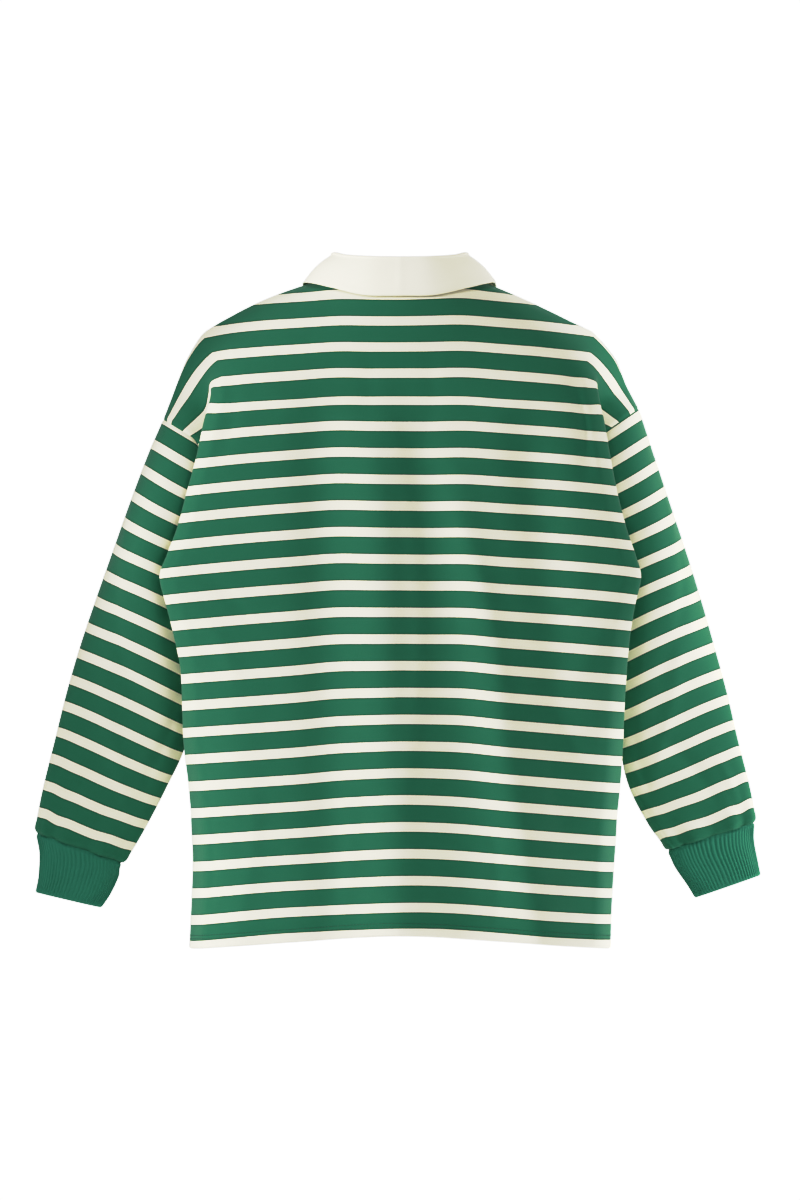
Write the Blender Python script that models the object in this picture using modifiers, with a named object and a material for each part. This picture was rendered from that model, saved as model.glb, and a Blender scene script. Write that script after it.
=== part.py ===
"""Long-sleeved rugby shirt in its worn shape, hollow, with open neck, hem and cuffs.

+Z is up, the back faces +Y, the front faces -Y and the wearer's left is +X. The origin is midway between the
two high points of the shoulders, at their level. Sizes below are in millimetres and are turned into metres
only when a mesh is made.
"""
import math

import bmesh
import bpy
from mathutils import Vector
from mathutils.bvhtree import BVHTree

MM = 0.001
LEFT, RIGHT = 1, -1
BACK, FRONT = 1, -1

# ---- driving sizes -------------------------------------------------------------------------------
JERSEY_WALL = 1.8
COLLAR_WALL = 2.2
CUFF_WALL = 2.8
SEAM_GAP = 0.3
SHARPEST_MITRE = 0.6        # cosine of half the turn at a seam past which each wall ends square
NECK_HALF_WIDTH = 78.0
NECK_BACK_Y, NECK_FRONT_Y, NECK_SIDE_Y = 52.0, -72.0, 0.0
NECK_BACK_Z, NECK_FRONT_Z, NECK_SIDE_Z = -13.0, -78.0, 2.0
NECK_BACK_DIP, NECK_FRONT_DIP = 1.6, 1.35   # powers of the neck curve's fall from the side to the middle
CAP_HEIGHT = 122.0          # how much lower the underarm is than the top of the sleeve cap, along the sleeve
CAP_STARTS = 85.0           # degrees round the armhole at which the cap seam leaves the straight
BODY_ROUNDNESS = 2.3        # power of the body's section, where 2 is an ellipse
TUBE_ROUNDNESS = 0.92       # power of a sleeve's section, where 1 is an ellipse
FRONT_NARROWER = 5.0        # how far the front's fold at the side lies inside the back's
HEM_TURN = 20.0
FOLD_CLEARANCE = 0.4        # between the two layers of the turned-up hem
PLACKET_HALF_WIDTH = 15.0
PLACKET_OVERLAP = 2.0       # how far the upper strip covers the panel on each side
PLACKET_TAIL = 8.0          # how far the upper strip runs on below the slash
PLACKET_ROWS = 6            # rows of the front panel that the slash is long
BUTTON_RADIUS, BUTTON_HEIGHT, BUTTON_RIM = 5.5, 2.6, 0.6
BUTTON_ROWS = (1.2, 3.4, 5.0)
COLLAR_REST = 1.6           # air between the collar's fall and the shirt under it
COLLAR_END = 174            # degrees from the centre back at which each end of the collar stops
COLLAR_BULGE = 2.0          # outward roundness of the fall
FOLD_RADIUS = 2.9           # of the collar's visible face round its fold
FOLD_ANGLES = (45, 90, 135)
FALL_SHARES = (0.3, 0.6, 0.85, 1.0)         # rows of the fall, from the fold to the outer edge
RIBS = 96                   # round each cuff
RIB_HEIGHT = 0.5
RIB_STARTS = 0.12           # share of the cuff over which the ribs rise from its seam
CUFF_INSIDE_COLUMNS = 24


def table(names, *rows):
    """A short table whose rows are read by the names of their columns."""
    return [dict(zip(names.split(), row)) for row in rows]


def read(rows, column, at):
    """A column's value at a place on the table's first column, on a smooth curve through the rows."""
    key = next(iter(rows[0]))
    places = [row[key] for row in rows]
    values = [row[column] for row in rows]
    last = len(rows) - 1
    if at <= places[0]:
        return values[0]
    if at >= places[last]:
        return values[last]
    span = next(i for i in range(last) if at <= places[i + 1])

    def slope(i):
        before, after = max(i - 1, 0), min(i + 1, last)
        return (values[after] - values[before]) / (places[after] - places[before])

    width = places[span + 1] - places[span]
    t = (at - places[span]) / width
    rise = values[span + 1] - values[span]
    a = slope(span) * width - rise
    b = rise - slope(span + 1) * width
    return values[span] + t * rise + t * (1 - t) * ((1 - t) * a + t * b)


# Rows of both body panels. A row follows one course of the knit: q is how far the course lies below the high
# point of the shoulder, and turn is the place on the armhole in degrees from its top (180 is the underarm).
# The side of the body folds out to a soft ridge over the sleeve and tucks back to the seam behind it: ridge_y
# is the ridge's depth, ridge_in and seam_in lie inside the outline, tuck_out and tuck_up place the tuck from
# the seam, outwards and away from the middle of the side, and tuck_fall is its share of the drop from the
# ridge to the seam.
ROWS = table(
    "row q turn ridge_y ridge_in tuck_out tuck_up tuck_fall seam_in",
    (0, 50, 0, 30, 0, -24, -6, 0.62, 0),
    (1, 62, 30, 38, 0, -24, -6, 0.62, 0),
    (2, 84, 60, 46, 0, -24, -6, 0.62, 0),
    (3, 112, 90, 54, 0, -24, -6, 0.62, 0),
    (4, 143, 100, 60, 0, -16, -3.5, 0.65, 0),
    (5, 180, 110, 64, 0, -10, 1.4, 0.60, 0),
    (6, 217, 124, 68, 0, -4.7, 4.7, 0.50, 0),
    (7, 252, 141, 71, 0, 0, 9.5, 0.50, 0),
    (8, 280, 160, 74, 0, 2.5, 16.5, 0.50, 0),
    (9, 302, 180, 75, 0, 3, 37, 0.50, 25),
    (10, 330, 180, 73, 0, 1, 37, 0.50, 22.5),
    (11, 362, 180, 68, 0, 2, 35, 0.50, 20),
    (12, 400, 180, 58, 0, 3, 30, 0.50, 17),
    (13, 440, 180, 46, 0, 4, 24, 0.50, 15),
    (14, 480, 180, 34, 0.3, 4, 17, 0.50, 11),
    (15, 520, 180, 29, 1.2, 1.5, 14, 0.50, 4),
    (16, 560, 180, 30, 2.0, -0.3, 15, 0.50, 0.3),
    (17, 600, 180, 31, 2.2, -0.5, 16, 0.50, 0),
    (18, 640, 180, 32, 2.2, -0.5, 16, 0.50, 0),
    (19, 672, 180, 33, 2.2, -0.5, 17, 0.50, 0),
    (20, 697, 180, 33, 2.2, -0.5, 17, 0.50, 0),
)
CAP_ROW, UNDERARM_ROW, WAIST_ROW, HEM_ROW = 3, 9, 17, 20
SEAM_MEETS = 3              # rows below the underarm over which the side seam comes to the middle of the side
WAIST_EASE = 5              # rows above the waist over which the front comes out as wide as the back

# The hem's fold, row by row: share of the way across to its inner layer, and how far each face has come up.
HEM_FOLD = table(
    "across face_up inside_up",
    (0.5, -1.1, 0.1), (1, 0, 0.8), (1, HEM_TURN, HEM_TURN),
)

# Half widths of the body seen from behind, by depth below the shoulder.
OUTLINE = table(
    "fall left right",
    (95, 200, 206), (122, 200, 210), (150, 207, 216), (180, 214, 221), (205, 219, 226),
    (230, 227, 231), (254, 233, 237), (282, 243, 246), (300, 251, 253), (310, 254.4, 255.5),
    (320, 253, 253), (346, 247, 248.5), (381, 238.5, 243), (409, 233, 240.6), (449, 231, 238),
    (503, 229, 236), (538, 225, 234), (571, 222.6, 231), (606, 220, 228.6), (665, 221.5, 225),
    (710, 223.7, 223.7),
)

# Depth of the centre back and centre front.
PROFILE = table(
    "q back front",
    (40, 66, 62), (74, 78, 76), (112, 87, 88), (143, 92, 97), (180, 96.5, 105), (217, 99.5, 110),
    (252, 101.5, 112.5), (302, 103, 113), (362, 102, 110), (440, 99, 105), (520, 98, 102),
    (600, 101, 103), (672, 106, 106), (697, 108, 107),
)

# How much lower a course lies at the side than at the centre, and the power of its curve.
DROOP = table(
    "q side power",
    (40, 11.5, 1.7), (150, 11, 1.9), (300, 10, 2.1), (450, 13, 1.4), (560, 15, 1.1), (697, 14, 1.2),
)
DROOP_AT = 210.0            # distance from the centre at which the table holds
DROOP_PAST = 1.1            # the same for the outline, which lies a little further out

# Soft upright folds of the hung body: centre at the top and at the hem, where the fold fades in, its half
# width and its height.
FOLDS_BACK = table(
    "x_top x_low starts full half_width height",
    (89, 68, 80, 200, 29, -6.5),
    (34, 2, 90, 255, 28, 6.5),
    (-21, -82, 80, 200, 36, -6.5),
    (-15, -151, 80, 270, 24, 6.5),
    (-118, -200, 90, 220, 27, -6.0),
    (178, 178, 320, 500, 35, 5.0),
)
FOLDS_FRONT = table(
    "x_top x_low starts full half_width height",
    (-74, -64, 260, 420, 28, 3.8),
    (-22, -14, 280, 520, 20, -3.4),
    (44, 62, 260, 460, 26, 4.2),
    (92, 118, 240, 480, 24, -3.2),
    (168, 190, 200, 380, 30, 3.2),
    (-140, -150, 220, 420, 32, -2.8),
)

# The shoulder seam from the neck to the top of the armhole, by stations from the centre out.
SHOULDER = table(
    "station left_x left_y left_z right_x right_y right_z",
    (1, 78, 0, 2, 78, 0, 2),
    (2, 139, -2, -19, 136, -2, -22.5),
    (3, 180, -3, -39, 182, -4, -44.5),
    (4, 212, -2, -60, 208, -5, -58.5),
    (5, 226, 2, -83, 228, -7, -82),
    (6, 240, 4, -117, 241, -8, -112),
)
# How each panel leaves its upper edge: sideways and downwards for one step to the back or the front.
LEAVING = table(
    "station sideways steep_back steep_front",
    (0, 0, 1.1, 1.7),
    (1, 0.75, 0.4, 0.5),
    (2, 0.2, 0.35, 0.35),
    (3, 0, 0.45, 0.45),
    (4, 0, 0.6, 0.6),
    (5, 0, 0.75, 0.75),
)
CENTRE, RIDGE, TUCK, SEAM = 0, 5, 6, 7
ACROSS = (0.0, 0.47, 0.68, 0.84, 0.95)      # stations before the ridge as shares of the way to it
STEPS = (5, 3, 2, 2, 1, 2, 2)               # columns between one station and the next, from the centre out
MIDDLE = sum(STEPS)                         # the centre's column
SOFTENING = 3                               # passes that round a cap row past the corner of the neck

# Sleeve sections, by distance below the top of the cap: the outer edge, the slope of the section towards the
# body, its width along that slope and half its depth.
SLEEVE = {
    LEFT: table(
        "r x z slope width depth",
        (0, 251.8, -149.5, 31, 80, 42),
        (38, 267.1, -184.4, 29, 88, 56),
        (92, 286.2, -235.3, 28, 84, 63),
        (146, 304.2, -286.2, 26.5, 83, 62),
        (200, 322.2, -337.1, 25.5, 110, 51),
        (254, 339.2, -388.0, 24.5, 129, 36),
        (307, 354.0, -438.8, 24, 138, 23),
        (360, 366.8, -489.7, 23, 129, 16),
        (412, 379.5, -540.6, 21.5, 117, 13),
        (451, 386.9, -578.8, 20, 104, 12),
        (461, 387.3, -589.0, 19.4, 97, 11.5),
    ),
    RIGHT: table(
        "r x z slope width depth",
        (0, 253.9, -137.8, 34, 82, 42),
        (49, 269.2, -184.4, 29.5, 88, 58),
        (103, 286.2, -235.3, 27.5, 83, 63),
        (156, 303.2, -286.2, 26, 82, 62),
        (210, 319.1, -337.1, 25, 100, 51),
        (263, 333.9, -388.0, 24, 116, 36),
        (315, 347.7, -438.8, 23, 125, 23),
        (368, 359.3, -489.7, 22, 126, 16),
        (420, 372.1, -540.6, 20, 115, 13),
        (449, 377.6, -569.0, 18.5, 103, 12),
        (458, 377.9, -578.2, 17.7, 98, 11.5),
    ),
}
SLEEVE_Y = {LEFT: 4.0, RIGHT: -5.0}
SLEEVE_ROWS = (0, 0.06, 0.13, 0.21, 0.29, 0.38, 0.47, 0.56, 0.65, 0.74, 0.83, 0.92, 1)

# Cuff sections from the sleeve seam to the opening.
CUFF = {
    LEFT: table(
        "t x z slope width depth",
        (0, 387.0, -589.4, 19.4, 97, 11.5),
        (0.12, 385.6, -596.0, 18.6, 93, 11.5),
        (0.35, 383.0, -610.0, 16.8, 88, 11.0),
        (0.70, 383.9, -634.0, 14.6, 79, 10.5),
        (1, 387.6, -652.0, 13.3, 72, 10.5),
    ),
    RIGHT: table(
        "t x z slope width depth",
        (0, 377.7, -578.6, 17.7, 98, 11.5),
        (0.12, 376.5, -585.0, 17.8, 94, 11.5),
        (0.35, 376.4, -598.5, 18.2, 88, 11.0),
        (0.70, 380.3, -619.0, 18.8, 79, 10.5),
        (1, 383.7, -633.9, 19.2, 74, 10.5),
    ),
}
CUFF_ROWS = (0, 0.25, 1)

# Collar by degrees round the neck from the centre back: the top of its fold and its outer edge.
COLLAR = table(
    "turn fold_x fold_y fold_z edge_x edge_y edge_z",
    (0, 0, 45, 23, 0, 60, -19),
    (25, 31, 41, 23.5, 38, 57, -18),
    (50, 57, 25, 25.5, 72, 42, -10),
    (75, 69.5, 4, 28.5, 96, 20, -4),
    (90, 71, -11, 26, 103, -4, -5),
    (110, 67, -31, 14, 103, -34, -22),
    (135, 50, -52, -14, 93, -66, -60),
    (160, 24, -66, -42, 70, -88, -102),
    (174, 8, -70, -51, 52, -98, -126),
)

GREEN = (0.020, 0.120, 0.068, 1.0)
CREAM = (0.800, 0.770, 0.660, 1.0)
JERSEY_ROUGHNESS, COTTON_ROUGHNESS, BUTTON_ROUGHNESS = 0.85, 0.8, 0.45


def hermite(start, end, start_pull, end_pull, t):
    """A smooth curve between two points that leaves and arrives along the two pulls."""
    return (start * (1 + 2 * t) * (1 - t) ** 2 + start_pull * t * (1 - t) ** 2
            + end * t * t * (3 - 2 * t) - end_pull * t * t * (1 - t))


def ease(t):
    t = min(max(t, 0.0), 1.0)
    return t * t * (3 - 2 * t)


def side_name(side):
    return "left" if side == LEFT else "right"


# ---- sleeve and cuff sections --------------------------------------------------------------------
def rounded(value):
    """A cosine or sine drawn out a little, for a section fuller than an ellipse."""
    return math.copysign(abs(value) ** TUBE_ROUNDNESS, value)


def ring_point(sections, side, at, turn):
    """A point of a flattened tube: turn is 0 at its outer edge, 90 at the back, 180 inside, -90 in front."""
    slope = math.radians(read(sections, "slope", at))
    angle = math.radians(turn)
    along = read(sections, "width", at) / 2 * (rounded(math.cos(angle)) - 1)
    depth = read(sections, "depth", at) * rounded(math.sin(angle))
    x = read(sections, "x", at) + along * math.cos(slope)
    z = read(sections, "z", at) + along * math.sin(slope)
    return Vector((side * x, SLEEVE_Y[side] + depth, z))


def cap_fall(turn):
    """How far below the top of the cap the armhole seam lies, along the sleeve."""
    return CAP_HEIGHT * ease((abs(turn) - CAP_STARTS) / (180 - CAP_STARTS))


def sleeve_point(side, share, turn):
    """A point of the sleeve, from the armhole seam (share 0) to the cuff seam (share 1)."""
    length = SLEEVE[side][-1]["r"]
    start = cap_fall(turn)
    return ring_point(SLEEVE[side], side, start + share * (length - start), turn)


# ---- body sections -------------------------------------------------------------------------------
def droop(q, x):
    return read(DROOP, "side", q) * (abs(x) / DROOP_AT) ** read(DROOP, "power", q)


def upright_folds(folds, q, x):
    """Relief of the soft folds of a panel, out of its surface."""
    relief = 0.0
    for fold in folds:
        centre = fold["x_top"] + (fold["x_low"] - fold["x_top"]) * q / ROWS[HEM_ROW]["q"]
        fade = ease((q - fold["starts"]) / (fold["full"] - fold["starts"]))
        relief += fold["height"] * fade * math.exp(-((x - centre) / fold["half_width"]) ** 2)
    return relief


def outline(side, q):
    """Half width of the body where the course q reaches its side."""
    return read(OUTLINE, side_name(side), q + read(DROOP, "side", q) * DROOP_PAST)


def seam_point(panel, side, row):
    """The edge of a panel: on the armhole down to the underarm, then down the side seam."""
    turn = panel * read(ROWS, "turn", min(row, UNDERARM_ROW))
    armhole = sleeve_point(side, 0, turn)
    if row <= UNDERARM_ROW:
        return armhole
    q = read(ROWS, "q", row)
    x = outline(side, q) - read(ROWS, "seam_in", row)
    apart = 1 - ease((row - UNDERARM_ROW) / SEAM_MEETS)
    top_q = ROWS[UNDERARM_ROW]["q"]
    step = armhole.z + top_q + droop(top_q, abs(armhole.x))
    return Vector((side * x, armhole.y * apart, -q - droop(q, x) + step * apart))


def section_point(panel, side, station, row):
    """A station of one row of a panel below the shoulder cap."""
    if station == SEAM:
        return seam_point(panel, side, row)
    q = read(ROWS, "q", row)
    half_width = outline(side, q)
    if panel == FRONT:
        half_width -= FRONT_NARROWER * ease((WAIST_ROW - row) / WAIST_EASE)
    ridge_x = half_width - read(ROWS, "ridge_in", row)
    ridge_y = read(ROWS, "ridge_y", row)
    ridge_z = -q - droop(q, ridge_x)
    if station == RIDGE:
        return Vector((side * ridge_x, panel * ridge_y, ridge_z))
    if station == TUCK:
        seam = seam_point(panel, side, row)
        z = ridge_z + (seam.z - ridge_z) * read(ROWS, "tuck_fall", row)
        x, y = seam.x + side * read(ROWS, "tuck_out", row), seam.y + panel * read(ROWS, "tuck_up", row)
        return Vector((x, y, z))
    share = ACROSS[station]
    x = share * ridge_x
    centre_y = read(PROFILE, "back" if panel == BACK else "front", q)
    bulge = (1 - share ** BODY_ROUNDNESS) ** (1 / BODY_ROUNDNESS)
    return Vector((side * x, panel * (ridge_y + (centre_y - ridge_y) * bulge), -q - droop(q, x)))


def neck_point(turn, side):
    """The neck seam, by degrees from the centre back."""
    angle = math.radians(turn)
    lean = abs(math.cos(angle))
    y, z, dip = NECK_BACK_Y, NECK_BACK_Z, NECK_BACK_DIP
    if turn > 90:
        y, z, dip = NECK_FRONT_Y, NECK_FRONT_Z, NECK_FRONT_DIP
    return Vector((side * NECK_HALF_WIDTH * math.sin(angle),
                   NECK_SIDE_Y + (y - NECK_SIDE_Y) * lean,
                   NECK_SIDE_Z + (z - NECK_SIDE_Z) * lean ** dip))


def neck_turns(panel):
    """Where the neck seam crosses the panel's columns, in degrees, from the centre to the shoulder."""
    if panel == BACK:
        return [90 * i / STEPS[0] for i in range(STEPS[0] + 1)]
    slash = 180 - math.degrees(math.asin(PLACKET_HALF_WIDTH / NECK_HALF_WIDTH))
    return [180] + [slash + (90 - slash) * i / (STEPS[0] - 1) for i in range(STEPS[0])]


def top_edge(side, station):
    """Stations of the shoulder seam, from the neck to the armhole."""
    if station == SEAM:
        return sleeve_point(side, 0, 0)
    name = side_name(side)
    x, y, z = (read(SHOULDER, f"{name}_{axis}", station) for axis in "xyz")
    return Vector((side * x, y, z))


def spline(points, counts):
    """A smooth line through the points, with the given number of steps between each two."""
    line = [points[0]]
    for i, count in enumerate(counts):
        before = points[i - 1] if i else points[0] * 2 - points[1]
        after = points[i + 2] if i + 2 < len(points) else points[-1] * 2 - points[-2]
        knots = [0.0]
        for a, b in ((before, points[i]), (points[i], points[i + 1]), (points[i + 1], after)):
            knots.append(knots[-1] + (b - a).length ** 0.5)
        for step in range(1, count + 1):
            t = knots[1] + (knots[2] - knots[1]) * step / count
            line.append(catmull((before, points[i], points[i + 1], after), knots, t))
    return line


def catmull(points, knots, t):
    """The curve through the middle two of four points, whose knots are spread by their distances."""
    def between(a, b, low, high):
        return a * ((high - t) / (high - low)) + b * ((t - low) / (high - low))

    p0, p1, p2, p3 = points
    k0, k1, k2, k3 = knots
    first, second, third = between(p0, p1, k0, k1), between(p1, p2, k1, k2), between(p2, p3, k2, k3)
    return between(between(first, second, k0, k2), between(second, third, k1, k3), k1, k2)


def section_row(panel, row):
    """A row of the panel below the shoulder cap: a smooth line through its stations, with the folds on it."""
    stations = [section_point(panel, LEFT, station, row) for station in range(SEAM, CENTRE, -1)]
    stations += [section_point(panel, RIGHT, station, row) for station in range(SEAM + 1)]
    line = spline(stations, STEPS[::-1] + STEPS)
    folds = FOLDS_BACK if panel == BACK else FOLDS_FRONT
    for column, point in enumerate(line):
        share = min(max(RIDGE - station_of(column), 0), 1)
        point.y += panel * share * upright_folds(folds, read(ROWS, "q", row), point.x)
    return line


def upper_edge(panel):
    """The panel's first row: a shoulder seam, the neck and the other shoulder seam."""
    neck = [neck_point(turn, LEFT) for turn in reversed(neck_turns(panel))]
    neck += [neck_point(turn, RIGHT) for turn in neck_turns(panel)[1:]]
    left, right = (spline([top_edge(side, station) for station in range(CENTRE + 1, SEAM + 1)], STEPS[1:])
                   for side in (LEFT, RIGHT))
    return left[:0:-1] + neck + right[1:]


def station_of(column):
    """Where a column lies among the stations, counted from the centre out."""
    beyond = abs(column - MIDDLE)
    for station, count in enumerate(STEPS):
        if beyond <= count:
            return station + beyond / count
        beyond -= count
    raise ValueError("the panel is not that wide")


def softened(line):
    """The line with each inner point moved half way to the middle of its neighbours."""
    inner = [(a + b * 2 + c) / 4 for a, b, c in zip(line, line[1:], line[2:])]
    return [line[0]] + inner + [line[-1]]


def cap_rows(panel):
    """The rows above the cap row: a dome between the panel's upper edge and that row."""
    edge, cap, below = upper_edge(panel), section_row(panel, CAP_ROW), section_row(panel, CAP_ROW + 0.5)
    steep = "steep_back" if panel == BACK else "steep_front"
    first, last = ROWS[0]["q"], ROWS[CAP_ROW]["q"]
    rows = [edge]
    for row in range(1, CAP_ROW):
        t = (ROWS[row]["q"] - first) / (last - first)
        line = []
        for column, (top, foot, lower) in enumerate(zip(edge, cap, below)):
            station = station_of(column)
            reach = (foot - top).length
            sideways = read(LEAVING, "sideways", station) * (1 if column < MIDDLE else -1)
            leave = Vector((sideways, panel, -read(LEAVING, steep, station))).normalized() * reach
            line.append(hermite(top, foot, leave, (lower - foot).normalized() * reach, t))
        last_step = STEPS[-1]
        for _ in range(SOFTENING):
            line = softened(line)
        for side, seam, step in ((LEFT, 0, 1), (RIGHT, 2 * MIDDLE, -1)):
            line[seam] = seam_point(panel, side, row)
            tuck = line[seam + step * last_step]
            for i in range(1, last_step):
                line[seam + step * i] = line[seam].lerp(tuck, i / last_step)
        rows.append(line)
    return rows


def panel_grid(panel):
    return cap_rows(panel) + [section_row(panel, row) for row in range(CAP_ROW, HEM_ROW + 1)]


# ---- walls ---------------------------------------------------------------------------------------
def grid_normals(grid, wrap, flip):
    """Unit normals of a grid of points, out of the cloth."""
    rows, columns = len(grid), len(grid[0])
    normals = []
    for i in range(rows):
        line = []
        for j in range(columns):
            up, down = grid[max(i - 1, 0)][j], grid[min(i + 1, rows - 1)][j]
            if wrap:
                before, after = grid[i][j - 1], grid[i][(j + 1) % columns]
            else:
                before, after = grid[i][max(j - 1, 0)], grid[i][min(j + 1, columns - 1)]
            line.append((after - before).cross(down - up).normalized() * flip)
        normals.append(line)
    return normals


def seam_key(point):
    return tuple(round(value, 2) for value in point)


class Cloth:
    """A wall of cloth on a grid of outer points, mitred where its edges meet the next piece."""

    def __init__(self, name, grid, wall, wrap=False, flip=1, seams="", skip=None):
        self.name, self.grid, self.wall, self.wrap = name, grid, wall, wrap
        self.seams, self.skip = seams, skip or (lambda row, column: False)
        self.normals = grid_normals(grid, wrap, flip)

    def edge_cells(self):
        """Each seam edge as (row, column, row inside, column inside)."""
        rows, columns = len(self.grid), len(self.grid[0])
        for name in self.seams.split():
            if name == "top":
                yield from ((0, j, 1, j) for j in range(columns))
            if name == "bottom":
                yield from ((rows - 1, j, rows - 2, j) for j in range(columns))
            if name == "left":
                yield from ((i, 0, i, 1) for i in range(rows))
            if name == "right":
                yield from ((i, columns - 1, i, columns - 2) for i in range(rows))

    def seam_tangent(self, i, j, along_row):
        rows, columns = len(self.grid), len(self.grid[0])
        if along_row:
            after = self.grid[i][(j + 1) % columns] if self.wrap else self.grid[i][min(j + 1, columns - 1)]
            before = self.grid[i][j - 1] if self.wrap else self.grid[i][max(j - 1, 0)]
        else:
            after, before = self.grid[min(i + 1, rows - 1)][j], self.grid[max(i - 1, 0)][j]
        return (after - before).normalized()

    def into_cloth(self):
        """For each point on a seam, the unit direction from the seam into the cloth."""
        found = {}
        for i, j, inner_i, inner_j in self.edge_cells():
            inward = self.grid[inner_i][inner_j] - self.grid[i][j]
            tangent = self.seam_tangent(i, j, inner_i != i)
            inward = (inward - tangent * inward.dot(tangent)).normalized()
            found[i, j] = found.get((i, j), Vector()) + inward
        return found

    def build(self, shared):
        """The outer and inner points, with the seam edges drawn back by half the seam gap."""
        pulls = self.into_cloth()
        outer, inner = [], []
        for i, line in enumerate(self.grid):
            outer.append([])
            inner.append([])
            for j, point in enumerate(line):
                normal, depth = self.normals[i][j], self.wall
                if (i, j) in pulls:
                    mitre = shared[seam_key(point)].normalized()
                    if mitre.dot(normal) > SHARPEST_MITRE:
                        depth = self.wall / mitre.dot(normal)
                        normal = mitre
                    point = point + pulls[i, j] * (SEAM_GAP / 2)
                outer[-1].append(point)
                inner[-1].append(point - normal * depth)
        return outer, inner


def wall_mesh(name, outer, inner, wrap, skip=lambda row, column: False):
    """A closed wall between two grids of points, with a rim on every open edge.

    Each cell is split along its shorter diagonal, on both faces alike.
    """
    mesh = bmesh.new()
    rows, columns = len(outer), len(outer[0])
    made = {}

    def vertex(points, i, j):
        key = (points is outer, i, j % columns)
        if key not in made:
            made[key] = mesh.verts.new(points[i][j % columns] * MM)
        return made[key]

    edges = {}
    for i in range(rows - 1):
        for j in range(columns if wrap else columns - 1):
            if skip(i, j):
                continue
            ring = [(i, j), (i + 1, j), (i + 1, j + 1), (i, j + 1)]
            a, b, c, d = (outer[row][column % columns] for row, column in ring)
            turned = ring if (a - c).length <= (b - d).length else ring[1:] + ring[:1]
            for half in (turned[:3], turned[2:] + turned[:1]):
                mesh.faces.new([vertex(outer, *corner) for corner in half])
                mesh.faces.new([vertex(inner, *corner) for corner in reversed(half)])
            for a, b in zip(ring, ring[1:] + ring[:1]):
                a, b = (a[0], a[1] % columns), (b[0], b[1] % columns)
                key = frozenset((a, b))
                edges[key] = None if key in edges else (a, b)
    for edge in edges.values():
        if edge:
            a, b = edge
            mesh.faces.new([vertex(outer, *b), vertex(outer, *a), vertex(inner, *a), vertex(inner, *b)])
    return finished_mesh(name, mesh)


def finished_mesh(name, mesh):
    bmesh.ops.recalc_face_normals(mesh, faces=mesh.faces)
    data = bpy.data.meshes.new(name)
    mesh.to_mesh(data)
    mesh.free()
    return data


def add_piece(name, data, collection, colour, roughness):
    """The named object with its own material, shaded smooth except at its rims."""
    made = bpy.data.objects.new(name, data)
    collection.objects.link(made)
    material = bpy.data.materials.new(name)
    material.use_nodes = True
    surface = material.node_tree.nodes["Principled BSDF"]
    surface.inputs["Base Color"].default_value = colour
    surface.inputs["Roughness"].default_value = roughness
    surface.inputs["Metallic"].default_value = 0.0
    data.materials.append(material)
    data.shade_smooth()
    data.set_sharp_from_angle(angle=math.radians(50))
    return made


# ---- body and sleeves ----------------------------------------------------------------------------
def add_hem_turn(outer, inner):
    """Both faces of the wall carried round the hem's fold and up inside it."""
    thickness = 2 * JERSEY_WALL + FOLD_CLEARANCE
    into_body = [(b - a).normalized() for a, b in zip(outer[-1], inner[-1])]
    turned_outer, turned_inner = list(outer), list(inner)
    for row in HEM_FOLD:
        face_up, inside_up = Vector((0, 0, row["face_up"])), Vector((0, 0, row["inside_up"]))
        face_in, inside_in = thickness * row["across"], FOLD_CLEARANCE * row["across"]
        turned_outer.append([p + d * face_in + face_up for p, d in zip(outer[-1], into_body)])
        turned_inner.append([p + d * inside_in + inside_up for p, d in zip(inner[-1], into_body)])
    return turned_outer, turned_inner


def round_armhole():
    """Degrees of the sleeve's columns: the armhole rows of the back panel, then the front's, upwards."""
    back = [row["turn"] for row in ROWS[:UNDERARM_ROW + 1]]
    return back + [-turn for turn in back[-2:0:-1]]


def over_slash(row, column):
    return row < PLACKET_ROWS and column in (MIDDLE - 1, MIDDLE)


def front_with_slash():
    """The front panel's points, with the columns beside the centre on the two edges of the slash."""
    grid = panel_grid(FRONT)
    for line in grid[1:PLACKET_ROWS + 1]:
        for side in (LEFT, RIGHT):
            line[MIDDLE - side] = point_across(line, side * PLACKET_HALF_WIDTH)
    return grid


def jersey_pieces():
    """The striped pieces, with the directions in which their walls meet at shared seams."""
    pieces = [
        Cloth("back_panel", panel_grid(BACK), JERSEY_WALL, flip=-1, seams="top left right"),
        Cloth("front_panel", front_with_slash(), JERSEY_WALL, seams="top left right", skip=over_slash),
    ]
    for side in (LEFT, RIGHT):
        grid = [[sleeve_point(side, share, turn) for turn in round_armhole()] for share in SLEEVE_ROWS]
        pieces.append(Cloth(f"sleeve_{side_name(side)}", grid, JERSEY_WALL, wrap=True, flip=-side,
                            seams="top bottom"))
    shared = {}
    for piece in pieces:
        for i, j in piece.into_cloth():
            key = seam_key(piece.grid[i][j])
            shared[key] = shared.get(key, Vector()) + piece.normals[i][j]
    return pieces, shared


# ---- cuffs ---------------------------------------------------------------------------------------
def cuff_ring(side, t, columns, ribbed):
    """One ring of a cuff's outer face, ribbed, or of its plain inner face."""
    ring = []
    outer_edge = ring_point(CUFF[side], side, t, 0)
    centre = (outer_edge + ring_point(CUFF[side], side, t, 180)) / 2
    half_width = (outer_edge - centre).length
    along = (outer_edge - centre) / half_width
    half_depth = read(CUFF[side], "depth", t)
    rib = RIB_HEIGHT * ease(t / RIB_STARTS)
    for step in range(columns):
        point = ring_point(CUFF[side], side, t, 360 * step / columns)
        across, deep = (point - centre).dot(along), (point - centre).y
        normal = (along * (across / half_width ** 2) + Vector((0, deep / half_depth ** 2, 0))).normalized()
        sunk = CUFF_WALL + RIB_HEIGHT
        if ribbed:
            sunk = rib if step % 2 else 0
        ring.append(point - normal * sunk)
    return ring


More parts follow.
